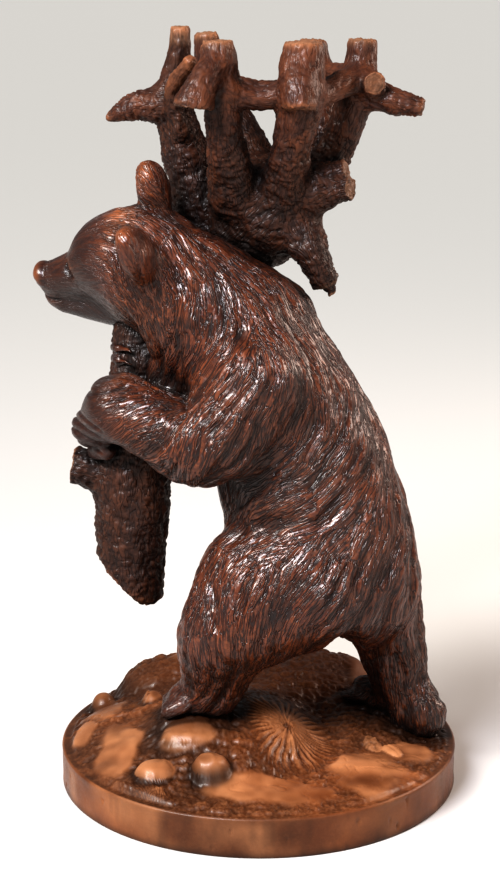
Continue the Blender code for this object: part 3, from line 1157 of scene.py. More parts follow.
def line_distance(points: Array, line: list) -> Array:
    """Gives each point's distance to a line through several points.

    Args:
        points: Places, one a row.
        line: The points of the line.

    Returns:
        The distances.
    """
    best = np.full(len(points), FAR_AWAY)
    for a, b in zip(np.array(line[:-1]), np.array(line[1:])):
        share = np.clip((points - a) @ (b - a) / ((b - a) @ (b - a)), 0, 1)
        best = np.minimum(best, np.linalg.norm(points - a - share[:, None] * (b - a), axis=1))
    return best


def folded(local: Array) -> Array:
    """Gives points of the head's frame with its right half laid on its left."""
    return np.column_stack([np.abs(local[:, 0]), local[:, 1:]])


@frozen
class Cut:
    """A cut of the face along a line in the head's frame.

    Attributes:
        line: The points that the line goes through.
        depth: How deep it is.
        width: How far from the line the depth has fallen to a third.
    """

    line: tuple
    depth: float
    width: float

    def depth_at(self, local: Array) -> Array:
        """Gives the depth at each point: the cut's own depth times exp(-d² / w²)."""
        return self.depth * np.exp(-((line_distance(local, self.line) / self.width) ** 2))


MOUTH = Cut(((0, 97, -25), (8, 95, -26), (14, 87, -28), (18, 72, -30), (20, 52, -32)), 2.0, 1.8)
LIP_MIDDLE = Cut(((0, 98, -12), (0, 97, -25)), 1.2, 1.4)
NOSE_EDGE = Cut(((0, 84, 6), (9, 84, 3), (13, 84, -4), (10, 86, -14), (3, 90, -17)), 0.8, 1.5)
NOSTRIL = Cut(((8, 97, -6), (13, 87, -5), (14, 80, -9), (11, 80, -15)), 2.6, 2.0)
FACE_CUTS = (MOUTH, LIP_MIDDLE, NOSE_EDGE, NOSTRIL)


@frozen
class Spot:
    """A place on the head and on its mirror image, in the head's frame.

    Attributes:
        centre: Where it is.
        radii: How far it reaches each way.
        share: How strong it is in the middle, from 0 to 1.
    """

    centre: tuple
    radii: tuple
    share: float = 1.0

    def over(self, local: Array) -> Array:
        """Gives how strong the spot is at each point: the share times exp(-d²)."""
        away = (folded(local) - np.array(self.centre)) / np.array(self.radii)
        return self.share * np.exp(-((away**2).sum(1)))


EARS = Spot((50, -38, 46), (26, 18, 30))
EARS_OF_SHORT_HAIR = Spot((50, -36, 48), (26, 18, 32), 0.75)
EAR_KNOB = Spot((50, -34, 62), (9, 8, 12))
NOSE_PAD = Swelling((0, 90, -5), (16, 11, 12), False)
EYE = (14, 45.5, 8)

# Worn from being touched: forehead, nose, muzzle, the ears' knobs, lip and the ears' fronts.
RUBBED_SPOTS = (
    Spot((6, -15, 50), (30, 20, 22), 0.75), Spot((0, 97, -3), (16, 10, 12), 0.8),
    Spot((0, 60, 10), (14, 22, 10), 0.4), Spot((50, -34, 62), (10, 9, 12), 1.0),
    Spot((12, 88, -30), (9, 12, 8), 0.3), Spot((30, -2, 40), (14, 12, 20), 0.35),
)
# Painted shade: brows, eye hollows, the ears' hollows and cheeks.
PAINTED_SHADE_SPOTS = (
    Spot((20, 24, 36), (16, 16, 19), 0.65), Spot((16, 44, 10), (11, 11, 11), 0.7),
    Spot((52, -17, 34), (9, 8, 20), 0.8), Spot((22, 45, -58), (18, 44, 22), 0.75),
)


def strongest(spots: tuple, local: Array) -> Array:
    """Gives at each point how strong the strongest of the spots is."""
    return np.max([spot.over(local) for spot in spots], axis=0)


@frozen
class BearCarver:
    """Cuts fur, face and claws into the bear's net.

    Attributes:
        coat: The lie of the hair.
        hair: The cuts between tufts.
        locks: The locks that the tufts gather into.
        lumps: The uneven ground under the fur.
        groove: Depth of the cut between two tufts.
        lock: Height of the locks.
        lump: Height of the lumps.
        finger_gap: Depth of the gaps between the fingers.
        knob: How far the ears' knobs stand out.
        worn_reach: Rounds of evening that tell which places stand out and are worn.
    """

    coat: Coat
    hair: Streaks = Streaks(Noise(3.3, 3), 15.0, 7)
    locks: Streaks = Streaks(Noise(8.5, 5), 38.0, 7)
    lumps: Noise = Noise(34.0, 8)
    groove: float = 0.9
    lock: float = 2.5
    lump: float = 0.5
    finger_gap: float = 2.6
    knob: float = 3.5
    worn_reach: int = 40

    def carve(self, net: Net) -> Net:
        """Moves the net's corners and stores what the material needs to know.

        Args:
            net: The settled net of the bear.

        Returns:
            The same net, carved.
        """
        points, normals = net.corners, net.normals()
        lie = self.coat.lie(normals)
        hair = self.hair(points, lie)
        locks = self.locks(points, lie)
        lumps = self.lumps(points)
        local = HEAD.local(points)
        bare = self.bareness(points, local)
        claws = self.claws(points)
        eyes = self.eyes(local)
        soft = 1 - np.maximum(bare, np.maximum(claws, eyes))
        length = self.length_of_hair(local)
        ridge = np.minimum(np.abs(hair) / 0.8, 1)
        strength = soft * (0.6 + 0.4 * ramp(lumps + 0.5 * locks, -0.6, 0.6)) * length
        move = self.groove * strength * (ridge - 0.7)
        move += self.lock * soft * length * np.tanh(0.8 * locks) + self.lump * soft * lumps
        knuckles = self.knuckles(points)
        knob = EAR_KNOB.over(local)
        fingers = self.between_fingers(points)
        fine = self.fineness(points, local)
        bare_share = 0.8 * np.maximum(np.maximum(knuckles, EARS.over(local)), claws)
        move -= self.finger_gap * fingers
        move += self.knob * knob
        cut = sum(line.depth_at(folded(local)) for line in FACE_CUTS) * (1 - eyes)
        worn = ramp(net.bulge(normals, self.worn_reach), 0.1, 2.2)
        # The gaps between the fingers get painted shade.
        paws = np.maximum(0.3 * np.maximum(knuckles, claws), 0.9 * fingers)
        net.values = {
            "hair": hair,
            "furry": soft * (0.24 + 0.76 * length) * (1 - 0.8 * knob),
            "fine": fine,
            # worn also holds painted sheen: 0.5 * fine * length lightens the mane and head.
            "worn": np.maximum(worn * (1 - bare_share) + 0.5 * fine * length, self.rubbed(local)),
            # Painted shade: darker in creases, between parts and along the face's cuts.
            "open": np.clip(painted_shade_openness(points, normals) - 0.3 * np.minimum(cut, 1.6), 0, 1),
            "pale": np.zeros(len(points)),
            "gloss": np.maximum(eyes, 0.4 * claws + 0.8 * knob),
            "dark": self.darkness(local, paws, eyes, -locks * soft * length),
        }
        Lay().cover(net, normals, lie(points))
        net.corners = points + normals * (move - cut)[:, None]
        return net

    def fineness(self, points: Array, local: Array) -> Array:
        """Gives how fine the strokes are: 1 on the head, less on the mane, 0 on back and legs; the same
        share also lightens the mane and head as painted sheen.

        Args:
            points: Places, one a row.
            local: The points in the head's own frame.

        Returns:
            A value from 0 to 1 for each point.
        """
        head = ramp(local[:, 1], -55, 20)
        mane = ramp(points[:, 2] - 0.9 * points[:, 1], 470, 600)
        return np.clip(0.45 * mane + 0.6 * head, 0, 1)

    @staticmethod
    def between_fingers(points: Array) -> Array:
        """Gives 1 in the gaps between the fingers of both forepaws, which lie one above another.

        A gap comes wherever the height, plus a share of y for the slant, passes a whole pitch. For
        each paw: the y at which its fingers start, their lowest and highest points, slant, pitch.

        Args:
            points: Places, one a row.

        Returns:
            A value from 0 to 1 for each point.
        """
        paws = ((-147, 352, 402, 0.45, 11.0), (-122, 412, 474, -0.25, 10.5))
        gap_width = 1.9
        value = np.zeros(len(points))
        for start, low, high, slant, pitch in paws:
            y, z = points[:, 1], points[:, 2]
            on = ramp(-y, -start, 8 - start) * ramp(z, low, low + 6) * (1 - ramp(z, high - 6, high))
            level = (z + slant * y) / pitch
            from_gap = (level - np.round(level)) * pitch
            value = np.maximum(value, on * np.exp(-((from_gap / gap_width) ** 2)))
        return value

    def rubbed(self, local: Array) -> Array:
        """Gives how worn the head is from being touched."""
        return strongest(RUBBED_SPOTS, local)

    def darkness(
        self, local: Array, paws: Array, eyes: Array, valleys: Array
    ) -> Array:
        """Gives how dark the colour is: dark eyes and paws, the face before the ears, between locks, and
        painted shade on the brows, the eye and ear hollows, the cheeks and between the fingers.

        Args:
            local: The points in the head's own frame.
            paws: How dark the paws are, with painted shade in the gaps between the fingers.
            eyes: 1 on the eyeballs.
            valleys: How deep a point lies between the locks.

        Returns:
            A value from 0 to 1 for each point.
        """
        value = np.maximum(strongest(PAINTED_SHADE_SPOTS, local), paws)
        value = np.maximum(value, 0.78 * ramp(local[:, 1], -8, 30))
        value = value * (1 - 0.8 * self.rubbed(local))
        return np.maximum(np.maximum(value, eyes), 0.7 * ramp(valleys, 0.2, 1.7))

    def length_of_hair(self, local: Array) -> Array:
        """Gives how long the hair is, from short on the face to full on the body."""
        return (0.16 + 0.84 * ramp(-local[:, 1], -34, 22)) * (1 - EARS_OF_SHORT_HAIR.over(local))

    def bareness(self, points: Array, local: Array) -> Array:
        """Gives 1 on the nose pad and the pads and knuckles of the paws, 0 on the coat."""
        nose = ramp(-NOSE_PAD.distance(local), -1.5, 1.0)
        return np.maximum(nose, 0.35 * self.knuckles(points))

    @staticmethod
    def knuckles(points: Array) -> Array:
        """Gives 1 on fingers and toes, 0 elsewhere.

        Args:
            points: Places, one a row.

        Returns:
            A value from 0 to 1 for each point.
        """
        value = np.zeros(len(points))
        for digit in DIGITS:
            value = np.maximum(value, ramp(-digit.flesh.distance(points), -2.5, 0.5))
        return value

    def claws(self, points: Array) -> Array:
        """Gives 1 on the claws and 0 elsewhere.

        Args:
            points: Places, one a row.

        Returns:
            A value from 0 to 1 for each point.
        """
        value = np.zeros(len(points))
        for digit in DIGITS:
            if digit.claw:
                value = np.maximum(value, ramp(-digit.claw.distance(points), -1.4, -0.2))
        return value

    def eyes(self, local: Array) -> Array:
        """Gives 1 on the eyeballs and 0 elsewhere."""
        away = np.linalg.norm(folded(local) - np.array(EYE), axis=1)
        return 1 - ramp(away, 4.9, 5.8)


# Bark


@frozen
class TreeCarver:
    """Cuts bark, growth rings and broken ends into the tree's net.

    Attributes:
        fibre: Long cuts of the crown's stringy bark.
        wrinkles: Cuts across the trunk.
        sway: How the fibres' way wanders.
        furrow: Depth of both cuts.
        knob: Height of the bark's knobs.
        ring_pitch: Distance between growth rings.
        ring: Their depth.
        torn: Height of torn fibres on a cut end.
        worn_reach: Rounds of evening that tell which places stand out and are worn.
    """

    fibre: Streaks = Streaks(Noise(3.6, 23), 9.0, 5)
    wrinkles: Streaks = Streaks(Noise(3.4, 24), 6.0, 4)
    sway: Noise = Noise(16.0, 21)
    furrow: float = 1.2
    knob: float = 1.7
    ring_pitch: float = 3.4
    ring: float = 0.25
    torn: float = 1.1
    worn_reach: int = 25

    def carve(self, net: Net) -> Net:
        """Moves the net's corners and stores what the material needs to know.

        Args:
            net: The settled net of the tree.

        Returns:
            The same net, carved.
        """
        points, normals = net.corners, net.normals()
        axis, cut_face, pale, rings = self.read_limbs(points, normals)
        bark = 1 - cut_face
        height = points[:, 2]

        def lie(places: Array) -> Array:
            """Gives the ways of the fibres: along the limb, and swaying."""
            turn = 0.5 * self.sway(places)
            side = np.cross(normals, axis)
            return axis * np.cos(turn)[:, None] + side * np.sin(turn)[:, None]

        def round_about(places: Array) -> Array:
            """Gives the ways of the wrinkles: round the limb, the same at all places."""
            return np.cross(normals, axis)

        fibre = self.fibre(points, lie)
        wrinkles = self.wrinkles(points, round_about)
        knobs = Noise(13.0, 25)(points) + 0.6 * Noise(6.0, 26)(points)
        ridge = np.minimum(np.abs(fibre) / 0.9, 1)
        fold = np.minimum(np.abs(wrinkles) / 0.9, 1)
        stringy = ramp(Noise(24.0, 28)(points) + (height - 685) / 70, -0.3, 0.5)
        strokes = stringy * ridge + (1 - stringy) * fold
        knob = self.knob * (1 - 0.55 * ramp(height, 640, 710))
        furrow = self.furrow * (1.5 - 0.5 * stringy)
        move = bark * (furrow * (strokes - 0.7) + knob * knobs)
        ring_wave = np.cos(rings * 2 * np.pi / self.ring_pitch + 2.0 * Noise(14.0, 29)(points))
        torn = Noise(3.4, 30)(points) + 0.8 * Noise(7.0, 31)(points)
        move += cut_face * (self.ring * ring_wave + self.torn * torn)
        worn = ramp(net.bulge(normals, self.worn_reach), 0.2, 2.2)
        fresh_top = 0.2 * ramp(height, 738, 750) * (pale > 0.1)
        net.values = {
            "hair": np.where(cut_face > 0.5, ring_wave * 1.3, stringy * fibre + (1 - stringy) * wrinkles),
            "furry": bark * (0.62 - 0.3 * ramp(height, 650, 715)) + 0.25 * cut_face,
            "fine": 0.25 * np.ones(len(points)),
            "worn": np.clip(np.maximum(worn, 0.25 * cut_face) + 0.25 * ramp(height, 650, 725), 0, 1),
            # Painted shade: darker in creases and where the limbs meet.
            "open": painted_shade_openness(points, normals),
            "pale": np.clip(0.5 * pale * cut_face + fresh_top, 0, 1),
            "gloss": np.zeros(len(points)),
            "dark": (0.62 * ramp(-height, -690, -600) + 0.5 * ramp(-knobs, 0.2, 1.4)) * bark,
        }
        Lay().cover(net, normals, axis)
        net.corners = points + normals * move[:, None]
        return net

    def read_limbs(self, points: Array, normals: Array) -> tuple:
        """Finds the nearest limb to each point.

        Args:
            points: Places, one a row.
            normals: Outward unit directions.

        Returns:
            Its direction laid on the surface, how much the point is on a cut face, how pale that
            face is, and the distance from the limb's heart.
        """
        best = np.full(len(points), FAR_AWAY)
        axis = np.tile(UP, (len(points), 1))
        cut_face, pale, rings = (np.zeros(len(points)) for _ in range(3))
        for limb in TREE_LIMBS:
            gap, stretch = limb.nearest(points)
            ways = unit(np.diff(limb.course[:, :3], axis=0))
            nearer = gap < best
            best[nearer] = gap[nearer]
            axis[nearer] = ways[stretch[nearer]]
            cut_face[nearer] = 0
            for at, out in limb.cuts:
                on = ramp(-np.abs((points - at) @ out), -2.2, -0.8) * ramp(normals @ out, 0.4, 0.8)
                cut_face[nearer] = np.maximum(cut_face[nearer], on[nearer])
                heart = self.heart(limb, at, out)
                rings[nearer] = np.linalg.norm(points[nearer] - heart, axis=1)
            pale[nearer] = limb.pale
        axis = unit(axis - np.einsum("ij,ij->i", axis, normals)[:, None] * normals)
        return axis, cut_face, pale, rings

    @staticmethod
    def heart(limb: Limb, at: Array, out: Array) -> Array:
        """Gives where the limb's middle line meets a cutting plane.

        Args:
            limb: The limb.
            at: A point of the plane.
            out: The plane's unit direction.

        Returns:
            The point in millimetres.
        """
        sides = (limb.course[:, :3] - at) @ out
        nearest = np.argmin(np.abs(sides))
        return limb.course[nearest, :3] - sides[nearest] * out


# Ground


@frozen
class Tuft:
    """A tuft of grass that lies flat in a star or a fan.

    Attributes:
        centre: Where its blades start, as (x, y).
        reach: How far the blades go along X and along Y.
        blades: Their number in a full turn.
        height: How high they stand.
        facing: A fan's middle direction and half its width, in radians.
    """

    centre: tuple
    reach: tuple
    blades: int = 36
    height: float = 3.2
    facing: tuple = None


@frozen
class GroundCarver:
    """Builds the ground and the turned rim under it as one closed net.

    Attributes:
        tufts: The grass.
        slabs: Smooth worn slabs: centre (x, y), radii, height.
        leaves: Small oval leaves: centre (x, y) and turn.
        leaf_radii: Half a leaf's length and width.
        leaf_rise: Its height in the middle.
        bud_centre: The bud's (x, y).
        bud_radii: Half its length along X and half its width.
        bud_rise: Its height in the middle.
        gouge: Depth of the gouges in the soil.
        chip: Depth of the stones' facets.
        pit: Depth of the cracks between stones and soil.
        drop_from: Height from which the grid falls.
        drops: How many times it falls.
    """

    tufts: tuple = (
        Tuft((57, 29), (76, 56)),
        Tuft((-8, -114), (34, 34), 40, 1.8, (math.radians(-110), 1.3)),
        Tuft((150, -96), (26, 34), 34, 1.4, (math.radians(-40), 1.4)),
    )
    slabs: tuple = (
        ((78, -139), (52, 27), 3.0), ((153, 12), (27, 66), 3.0), ((112, 110), (52, 42), 3.4),
        ((60, 150), (26, 30), 2.0), ((-20, -160), (40, 26), 3.0), ((-110, -60), (44, 40), 3.5),
        ((-80, 130), (50, 40), 3.0), ((-140, 30), (34, 46), 3.0), ((20, -178), (30, 14), 2.0),
        ((90, -72), (20, 33), 0.5),
    )
    leaves: tuple = (((50, 116), 0.25), ((62, 135), 0.45))
    leaf_radii: tuple = (15.0, 9.0)
    leaf_rise: float = 4.2
    bud_centre: tuple = (86, 34)
    bud_radii: tuple = (15.0, 4.4)
    bud_rise: float = 5.5
    gouge: float = 2.3
    chip: float = 2.2
    pit: float = 1.5
    drop_from: float = 130.0
    drops: int = 34

    def build(self) -> tuple:
        """Makes the top by dropping a grid onto the ground, and carries it down the rim.

        Returns:
            The net, and the corners of the foot's edge, where the flat underside closes it.
        """
        steps = MESH.ground_steps
        side = np.linspace(-1, 1, steps + 1)
        u, v = np.meshgrid(side, side, indexing="ij")
        disc = self.square_to_disc(u.ravel(), v.ravel()) * (BASE.radius - BASE.rim_edge_round)
        height, values = self.height(disc)
        top = np.column_stack([disc, height])
        index = np.arange((steps + 1) ** 2).reshape(steps + 1, steps + 1)
        quads = np.stack([index[:-1, :-1], index[1:, :-1], index[1:, 1:], index[:-1, 1:]], -1)
        edge = np.concatenate([index[:-1, 0], index[-1, :-1], index[:0:-1, -1], index[0, :0:-1]])
        corners, faces = [top], [quads.reshape(-1, 4)]
        count, ring = len(top), edge
        turn = top[edge, :2] / np.linalg.norm(top[edge, :2], axis=1)[:, None]
        for radius, level in self.rim_rows():
            corners.append(level_points(turn * radius, level))
            lower = np.arange(count, count + len(edge))
            count += len(edge)
            faces.append(np.stack([ring, lower, np.roll(lower, -1), np.roll(ring, -1)], -1))
            ring = lower
        net = Net(np.vstack(corners), np.vstack(faces))
        below = np.zeros(len(net.corners) - len(top))
        net.values = {key: np.concatenate([value, below]) for key, value in values.items()}
        self.finish(net, len(top))
        return net, ring

    @staticmethod
    def square_to_disc(u: Array, v: Array) -> Array:
        """Spreads a square's points evenly over a disc of radius 1.

        On the side where |u| > |v|, the radius is u and the angle is 45° v / u; the other sides
        are the same turned by a quarter.

        Args:
            u: Places across the square, from -1 to 1.
            v: Places along it.

        Returns:
            Rows of x and y.
        """
        radius = np.where(np.abs(u) > np.abs(v), u, v)
        with np.errstate(divide="ignore", invalid="ignore"):
            flat = np.pi / 4 * v / u
            steep = np.pi / 2 - np.pi / 4 * u / v
        angle = np.where(np.abs(u) > np.abs(v), flat, steep)
        angle = np.nan_to_num(angle)
        return np.column_stack([radius * np.cos(angle), radius * np.sin(angle)])

    def rim_rows(self) -> list:
        """Lists the rim's rings as (radius, height) from the top edge down to the foot's edge.

        Returns:
            A pair for each ring.
        """
        rows = []
        for turn in np.radians((25.0, 50.0, 75.0, 90.0)):
            rows.append((
                BASE.radius - BASE.rim_edge_round * (1 - math.sin(turn)),
                BASE.thickness - BASE.rim_edge_round * (1 - math.cos(turn)),
            ))
        for share in np.linspace(0, 1, MESH.rim_rows)[1:]:
            level = rows[3][1] + (BASE.foot_edge_round - rows[3][1]) * share
            rows.append((BASE.radius, level))
        rows.append((BASE.radius - BASE.foot_edge_round, 0.0))
        return rows

    def height(self, disc: Array) -> tuple:
        """Gives the ground's height at each place of the disc, and the values for the material.

        A point falls from above by its distance to the ground until it lies on it.

        Args:
            disc: Places as rows of x and y.

        Returns:
            The heights, and a dictionary of values by name.
        """
        points = level_points(disc, self.drop_from)
        for _ in range(self.drops):
            points[:, 2] -= 0.85 * ground_distance(points)
        height = self.eased(points[:, 2])
        bare_height = height.copy()
        away = np.linalg.norm(disc, axis=1)
        flat = level_points(disc)
        wide = Noise(33.0, 42)(flat)
        facets = np.abs(Noise(26.0, 43)(flat)) - 0.4
        gouges = 1.6 * np.abs(Noise(9.0, 44)(flat * np.array([1.0, 0.5, 1.0])))
        gouges = gouges + 0.6 * Noise(3.2, 45)(flat) - 0.7
        mottles = Noise(9.0, 47)(flat)
        on_stone = ramp(-PEBBLES.distance(points), -2.0, 0.0)
        slab, rise = self.slab(disc)
        tuft, tuft_share = self.grass(disc)
        leaf = self.leaf_height(disc)
        rest = (1 - on_stone) * (1 - tuft_share)
        soil = (1 - slab) * rest
        height = height + rest * (0.9 * wide + slab * (1.6 * facets + 0.3 * mottles))
        height += rise * (1 - on_stone) + self.gouge * soil * gouges + tuft + leaf
        height += self.pits(disc) * rest
        height -= self.chip * np.abs(Noise(11.0, 46)(flat + 7.0)) * on_stone
        inside = 1 - ramp(away, *self.ledge(disc))
        height = np.maximum(height, BASE.thickness + 0.6) - BASE.thickness
        height = BASE.thickness + 0.15 + height * inside
        edge = BASE.radius - BASE.rim_edge_round
        on_edge = ramp(away, edge - 2.0, edge)
        height = height * (1 - on_edge) + BASE.thickness * on_edge
        places = np.column_stack([disc, bare_height + 0.5])
        in_air = painted_shade_openness(places, np.tile(UP, (len(disc), 1)))
        smooth = np.clip(slab + on_stone, 0, 1) * (1 - tuft_share)
        values = {
            "hair": np.where(tuft_share > 0.3, tuft * 0.9, 0.25 + 1.2 * np.abs(gouges)),
            "furry": np.clip(0.9 * tuft_share + 0.8 * soil, 0, 1),
            "worn": np.clip(
                0.22 + smooth * (0.32 + 0.2 * wide + 0.08 * mottles) + 0.35 * (leaf > 0.3)
                + 0.4 * ramp(tuft, 0.3, 1.6) + 0.35 * soil * ramp(gouges, 0.3, 1.5), 0, 1,
            ),
            # Painted shade: darker where the bear, tree and stones close over the ground, and a little
            # darker on soil and tufts.
            "open": np.clip(in_air - 0.25 * soil - 0.15 * tuft_share, 0, 1),
            "pale": np.zeros(len(disc)),
            "gloss": np.zeros(len(disc)),
            "dark": np.clip(
                0.5 * soil * ramp(-gouges, -0.1, 0.6) + 0.6 * tuft_share * ramp(-tuft, 0.2, 1.6)
                + 0.5 * ramp(-points[:, 0], -30, 40) + 0.35 * ramp(-wide, 0.5, 1.5), 0, 0.62,
            ),
        }
        return height, values

    @staticmethod
    def ledge(disc: Array) -> tuple:
        """Gives the radii between which the ground falls to the rim, which wander a little.

        Args:
            disc: Places as rows of x and y.

        Returns:
            For each place the radius where the fall starts and the one where it ends.
        """
        turn = np.arctan2(disc[:, 1], disc[:, 0])
        around = level_points(np.column_stack([np.cos(turn), np.sin(turn)])) * 150
        outer = BASE.radius - BASE.ground_inset - 0.5 - 1.5 * (1 + Noise(40.0, 41)(around))
        return outer - 5.0, outer

    @staticmethod
    def eased(height: Array) -> Array:
        """Smooths the grid's heights where they are steep, as on the sides of the stones.

        Args:
            height: The heights, row after row of the grid.

        Returns:
            The smoothed heights.
        """
        steps = MESH.ground_steps + 1
        grid = height.reshape(steps, steps).copy()
        for _ in range(4):
            wide = np.pad(grid, 1, "edge")
            mean = (wide[2:, 1:-1] + wide[:-2, 1:-1] + wide[1:-1, 2:] + wide[1:-1, :-2]) / 4
            steep = np.hypot(wide[2:, 1:-1] - wide[:-2, 1:-1], wide[1:-1, 2:] - wide[1:-1, :-2])
            grid += (mean - grid) * ramp(steep, 1.5, 4.0)
        return grid.ravel()

    def slab(self, disc: Array) -> tuple:
        """Gives how much each place is on a smooth slab, and how high the slab stands there.

        Args:
            disc: Places as rows of x and y.

        Returns:
            The shares and the heights.
        """
        ragged = Noise(17.0, 48)(level_points(disc))
        share, rise = np.zeros(len(disc)), np.zeros(len(disc))
        for centre, radii, height in self.slabs:
            away = np.linalg.norm((disc - np.array(centre)) / np.array(radii), axis=1)
            away = away + 0.22 * ragged
            on = 1 - ramp(away, 0.72, 1.04)
            share = np.maximum(share, on)
            rise = np.maximum(rise, 0.8 * height * on * (1 - 0.5 * np.clip(away, 0, 1) ** 2))
        return share, rise

    def grass(self, disc: Array) -> tuple:
        """Gives the height of the tufts of grass and how much they cover each place.

        Args:
            disc: Places as rows of x and y.

        Returns:
            The heights and the shares.
        """
        total, cover = np.zeros(len(disc)), np.zeros(len(disc))
        flat = level_points(disc)
        bend = 0.06 * Noise(26.0, 51)(flat) + 0.015 * Noise(7.0, 53)(flat)
        patchy = 1 - 0.35 * ramp(Noise(15.0, 52)(flat), 0.1, 0.6)
        for tuft in self.tufts:
            away = disc - np.array(tuft.centre)
            turn = np.arctan2(away[:, 1], away[:, 0])
            reach = np.linalg.norm(away / np.array(tuft.reach), axis=1) * (1 + bend)
            covers = (1 - ramp(reach, 0.66, 1.0)) * patchy
            if tuft.facing:
                middle, half = tuft.facing
                aside = np.abs((turn - middle + np.pi) % (2 * np.pi) - np.pi)
                covers *= 1 - ramp(aside, half - 0.3, half)
            coarse, fine, finer = (
                np.abs(np.sin((turn + sway * bend + shift) * tuft.blades / part)) - 0.6
                for sway, shift, part in ((1.0, 0.0, 4), (1.6, 0.4, 2), (2.0, 0.0, 1))
            )
            lean = ramp(reach, 0.12, 0.45)
            leaner = ramp(reach, 0.6, 0.9)
            mix = coarse * (1 - lean) + (fine * (1 - leaner) + finer * leaner) * lean
            crown = 0.9 * np.exp(-((reach / 0.45) ** 2)) - 1.6 * np.exp(-((reach / 0.07) ** 2))
            total += covers * tuft.height * (mix + crown)
            cover = np.maximum(cover, covers)
        return total, cover

    def leaf_height(self, disc: Array) -> Array:
        """Gives the height of the bud and of the two small leaves near the rim.

        Args:
            disc: Places as rows of x and y.

        Returns:
            The heights in millimetres.
        """
        total = self.bud(disc)
        for centre, angle in self.leaves:
            away = disc - np.array(centre)
            along = away @ np.array([math.cos(angle), math.sin(angle)])
            across = away @ np.array([-math.sin(angle), math.cos(angle)])
            long, wide = self.leaf_radii
            shape = 1 - (along / long) ** 2 - (across / wide) ** 2
            vein = np.exp(-((across / 1.3) ** 2)) * (shape > 0.1)
            leaf = self.leaf_rise * np.sqrt(np.clip(shape, 0, 1)) - 1.2 * vein
            total = np.maximum(total, leaf)
        return total

    def bud(self, disc: Array) -> Array:
        """Gives the height of the bud that lies in the large tuft."""
        away = (disc - np.array(self.bud_centre)) / np.array(self.bud_radii)
        return self.bud_rise * np.sqrt(np.clip(1 - (away**2).sum(1), 0, 1))

    def pits(self, disc: Array) -> Array:
        """Gives short gouge cuts where the stones meet the soil.

        Args:
            disc: Places as rows of x and y.

        Returns:
            The heights in millimetres, none above 0.
        """
        flat = level_points(disc)
        from_crack = np.abs(Noise(19.0, 53)(flat) + 0.35 * Noise(7.0, 54)(flat))
        cracks = 1 - np.minimum(from_crack / 0.07, 1)
        return -self.pit * cracks * ramp(Noise(45.0, 55)(flat), -0.1, 0.3)

    def finish(self, net: Net, top_count: int) -> None:
        """Sets the rim's values and gives its side small dents.

        Args:
            net: The whole net.
            top_count: How many of its corners are the ground's.
        """
        side = np.arange(top_count, len(net.corners))
        points = net.corners[side]
        outward = unit(points * np.array([1.0, 1.0, 0.0]) + TINY)
        mid = ramp(points[:, 2], 1.5, 6.0) * (1 - ramp(points[:, 2], 33, 37))
        dents = 0.35 * Noise(30.0, 61)(points) + 0.25 * Noise(12.0, 62)(points)
        nicks = -1.6 * ramp(Noise(9.0, 63)(points), 0.78, 0.92)
        on_side = np.linalg.norm(points[:, :2], axis=1) > BASE.radius - 3
        net.corners[side] += outward * (mid * on_side * (dents + nicks - 0.5))[:, None]
        net.values["worn"][side] = 0.35 + 0.25 * Noise(26.0, 64)(points)
        # Painted shade: the rim darker towards the floor.
        net.values["open"][side] = 0.55 + 0.45 * ramp(points[:, 2], 0, 14)
        net.values["hair"][side] = Noise(3.0, 65)(points * np.array([1.0, 1.0, 3.0]))
        net.values["furry"][side] = 0.12
        stains = Noise(22.0, 66)(points) + 0.7 * Noise(6.0, 67)(points * np.array([1.0, 1.0, 0.2]))
        net.values["dark"][side] = 0.3 * ramp(-points[:, 2], -9, 0) + 0.4 * ramp(stains, 0.0, 1.4)


# Pieces


@frozen
class Band:
    """A share of a net between two planes, each a point and a direction."""

    name: str
    above: tuple = None
    below: tuple = None


NECK_PLANE = ((14, -76, 490), (0.0, -0.62, 0.78))
LOIN_PLANE = ((18, 50, 392), (0.0, -0.3, 1.0))
RUMP_PLANE = ((18, 60, 232), UP)
CROWN_PLANE = ((0, 0, 612), UP)
BEAR_BANDS = (
    Band("bear_head", above=NECK_PLANE),
    Band("bear_chest", above=LOIN_PLANE, below=NECK_PLANE),
    Band("bear_hips", above=RUMP_PLANE, below=LOIN_PLANE),
    Band("bear_legs", below=RUMP_PLANE),
)
TREE_BANDS = (
    Band("tree_crown", above=CROWN_PLANE),
    Band("tree_trunk", below=CROWN_PLANE),
)


def side_of(points: Array, plane: tuple) -> Array:
    """Tells on which side of a plane points lie: more than zero is above."""
    return (points - np.array(plane[0], float)) @ np.array(plane[1], float)


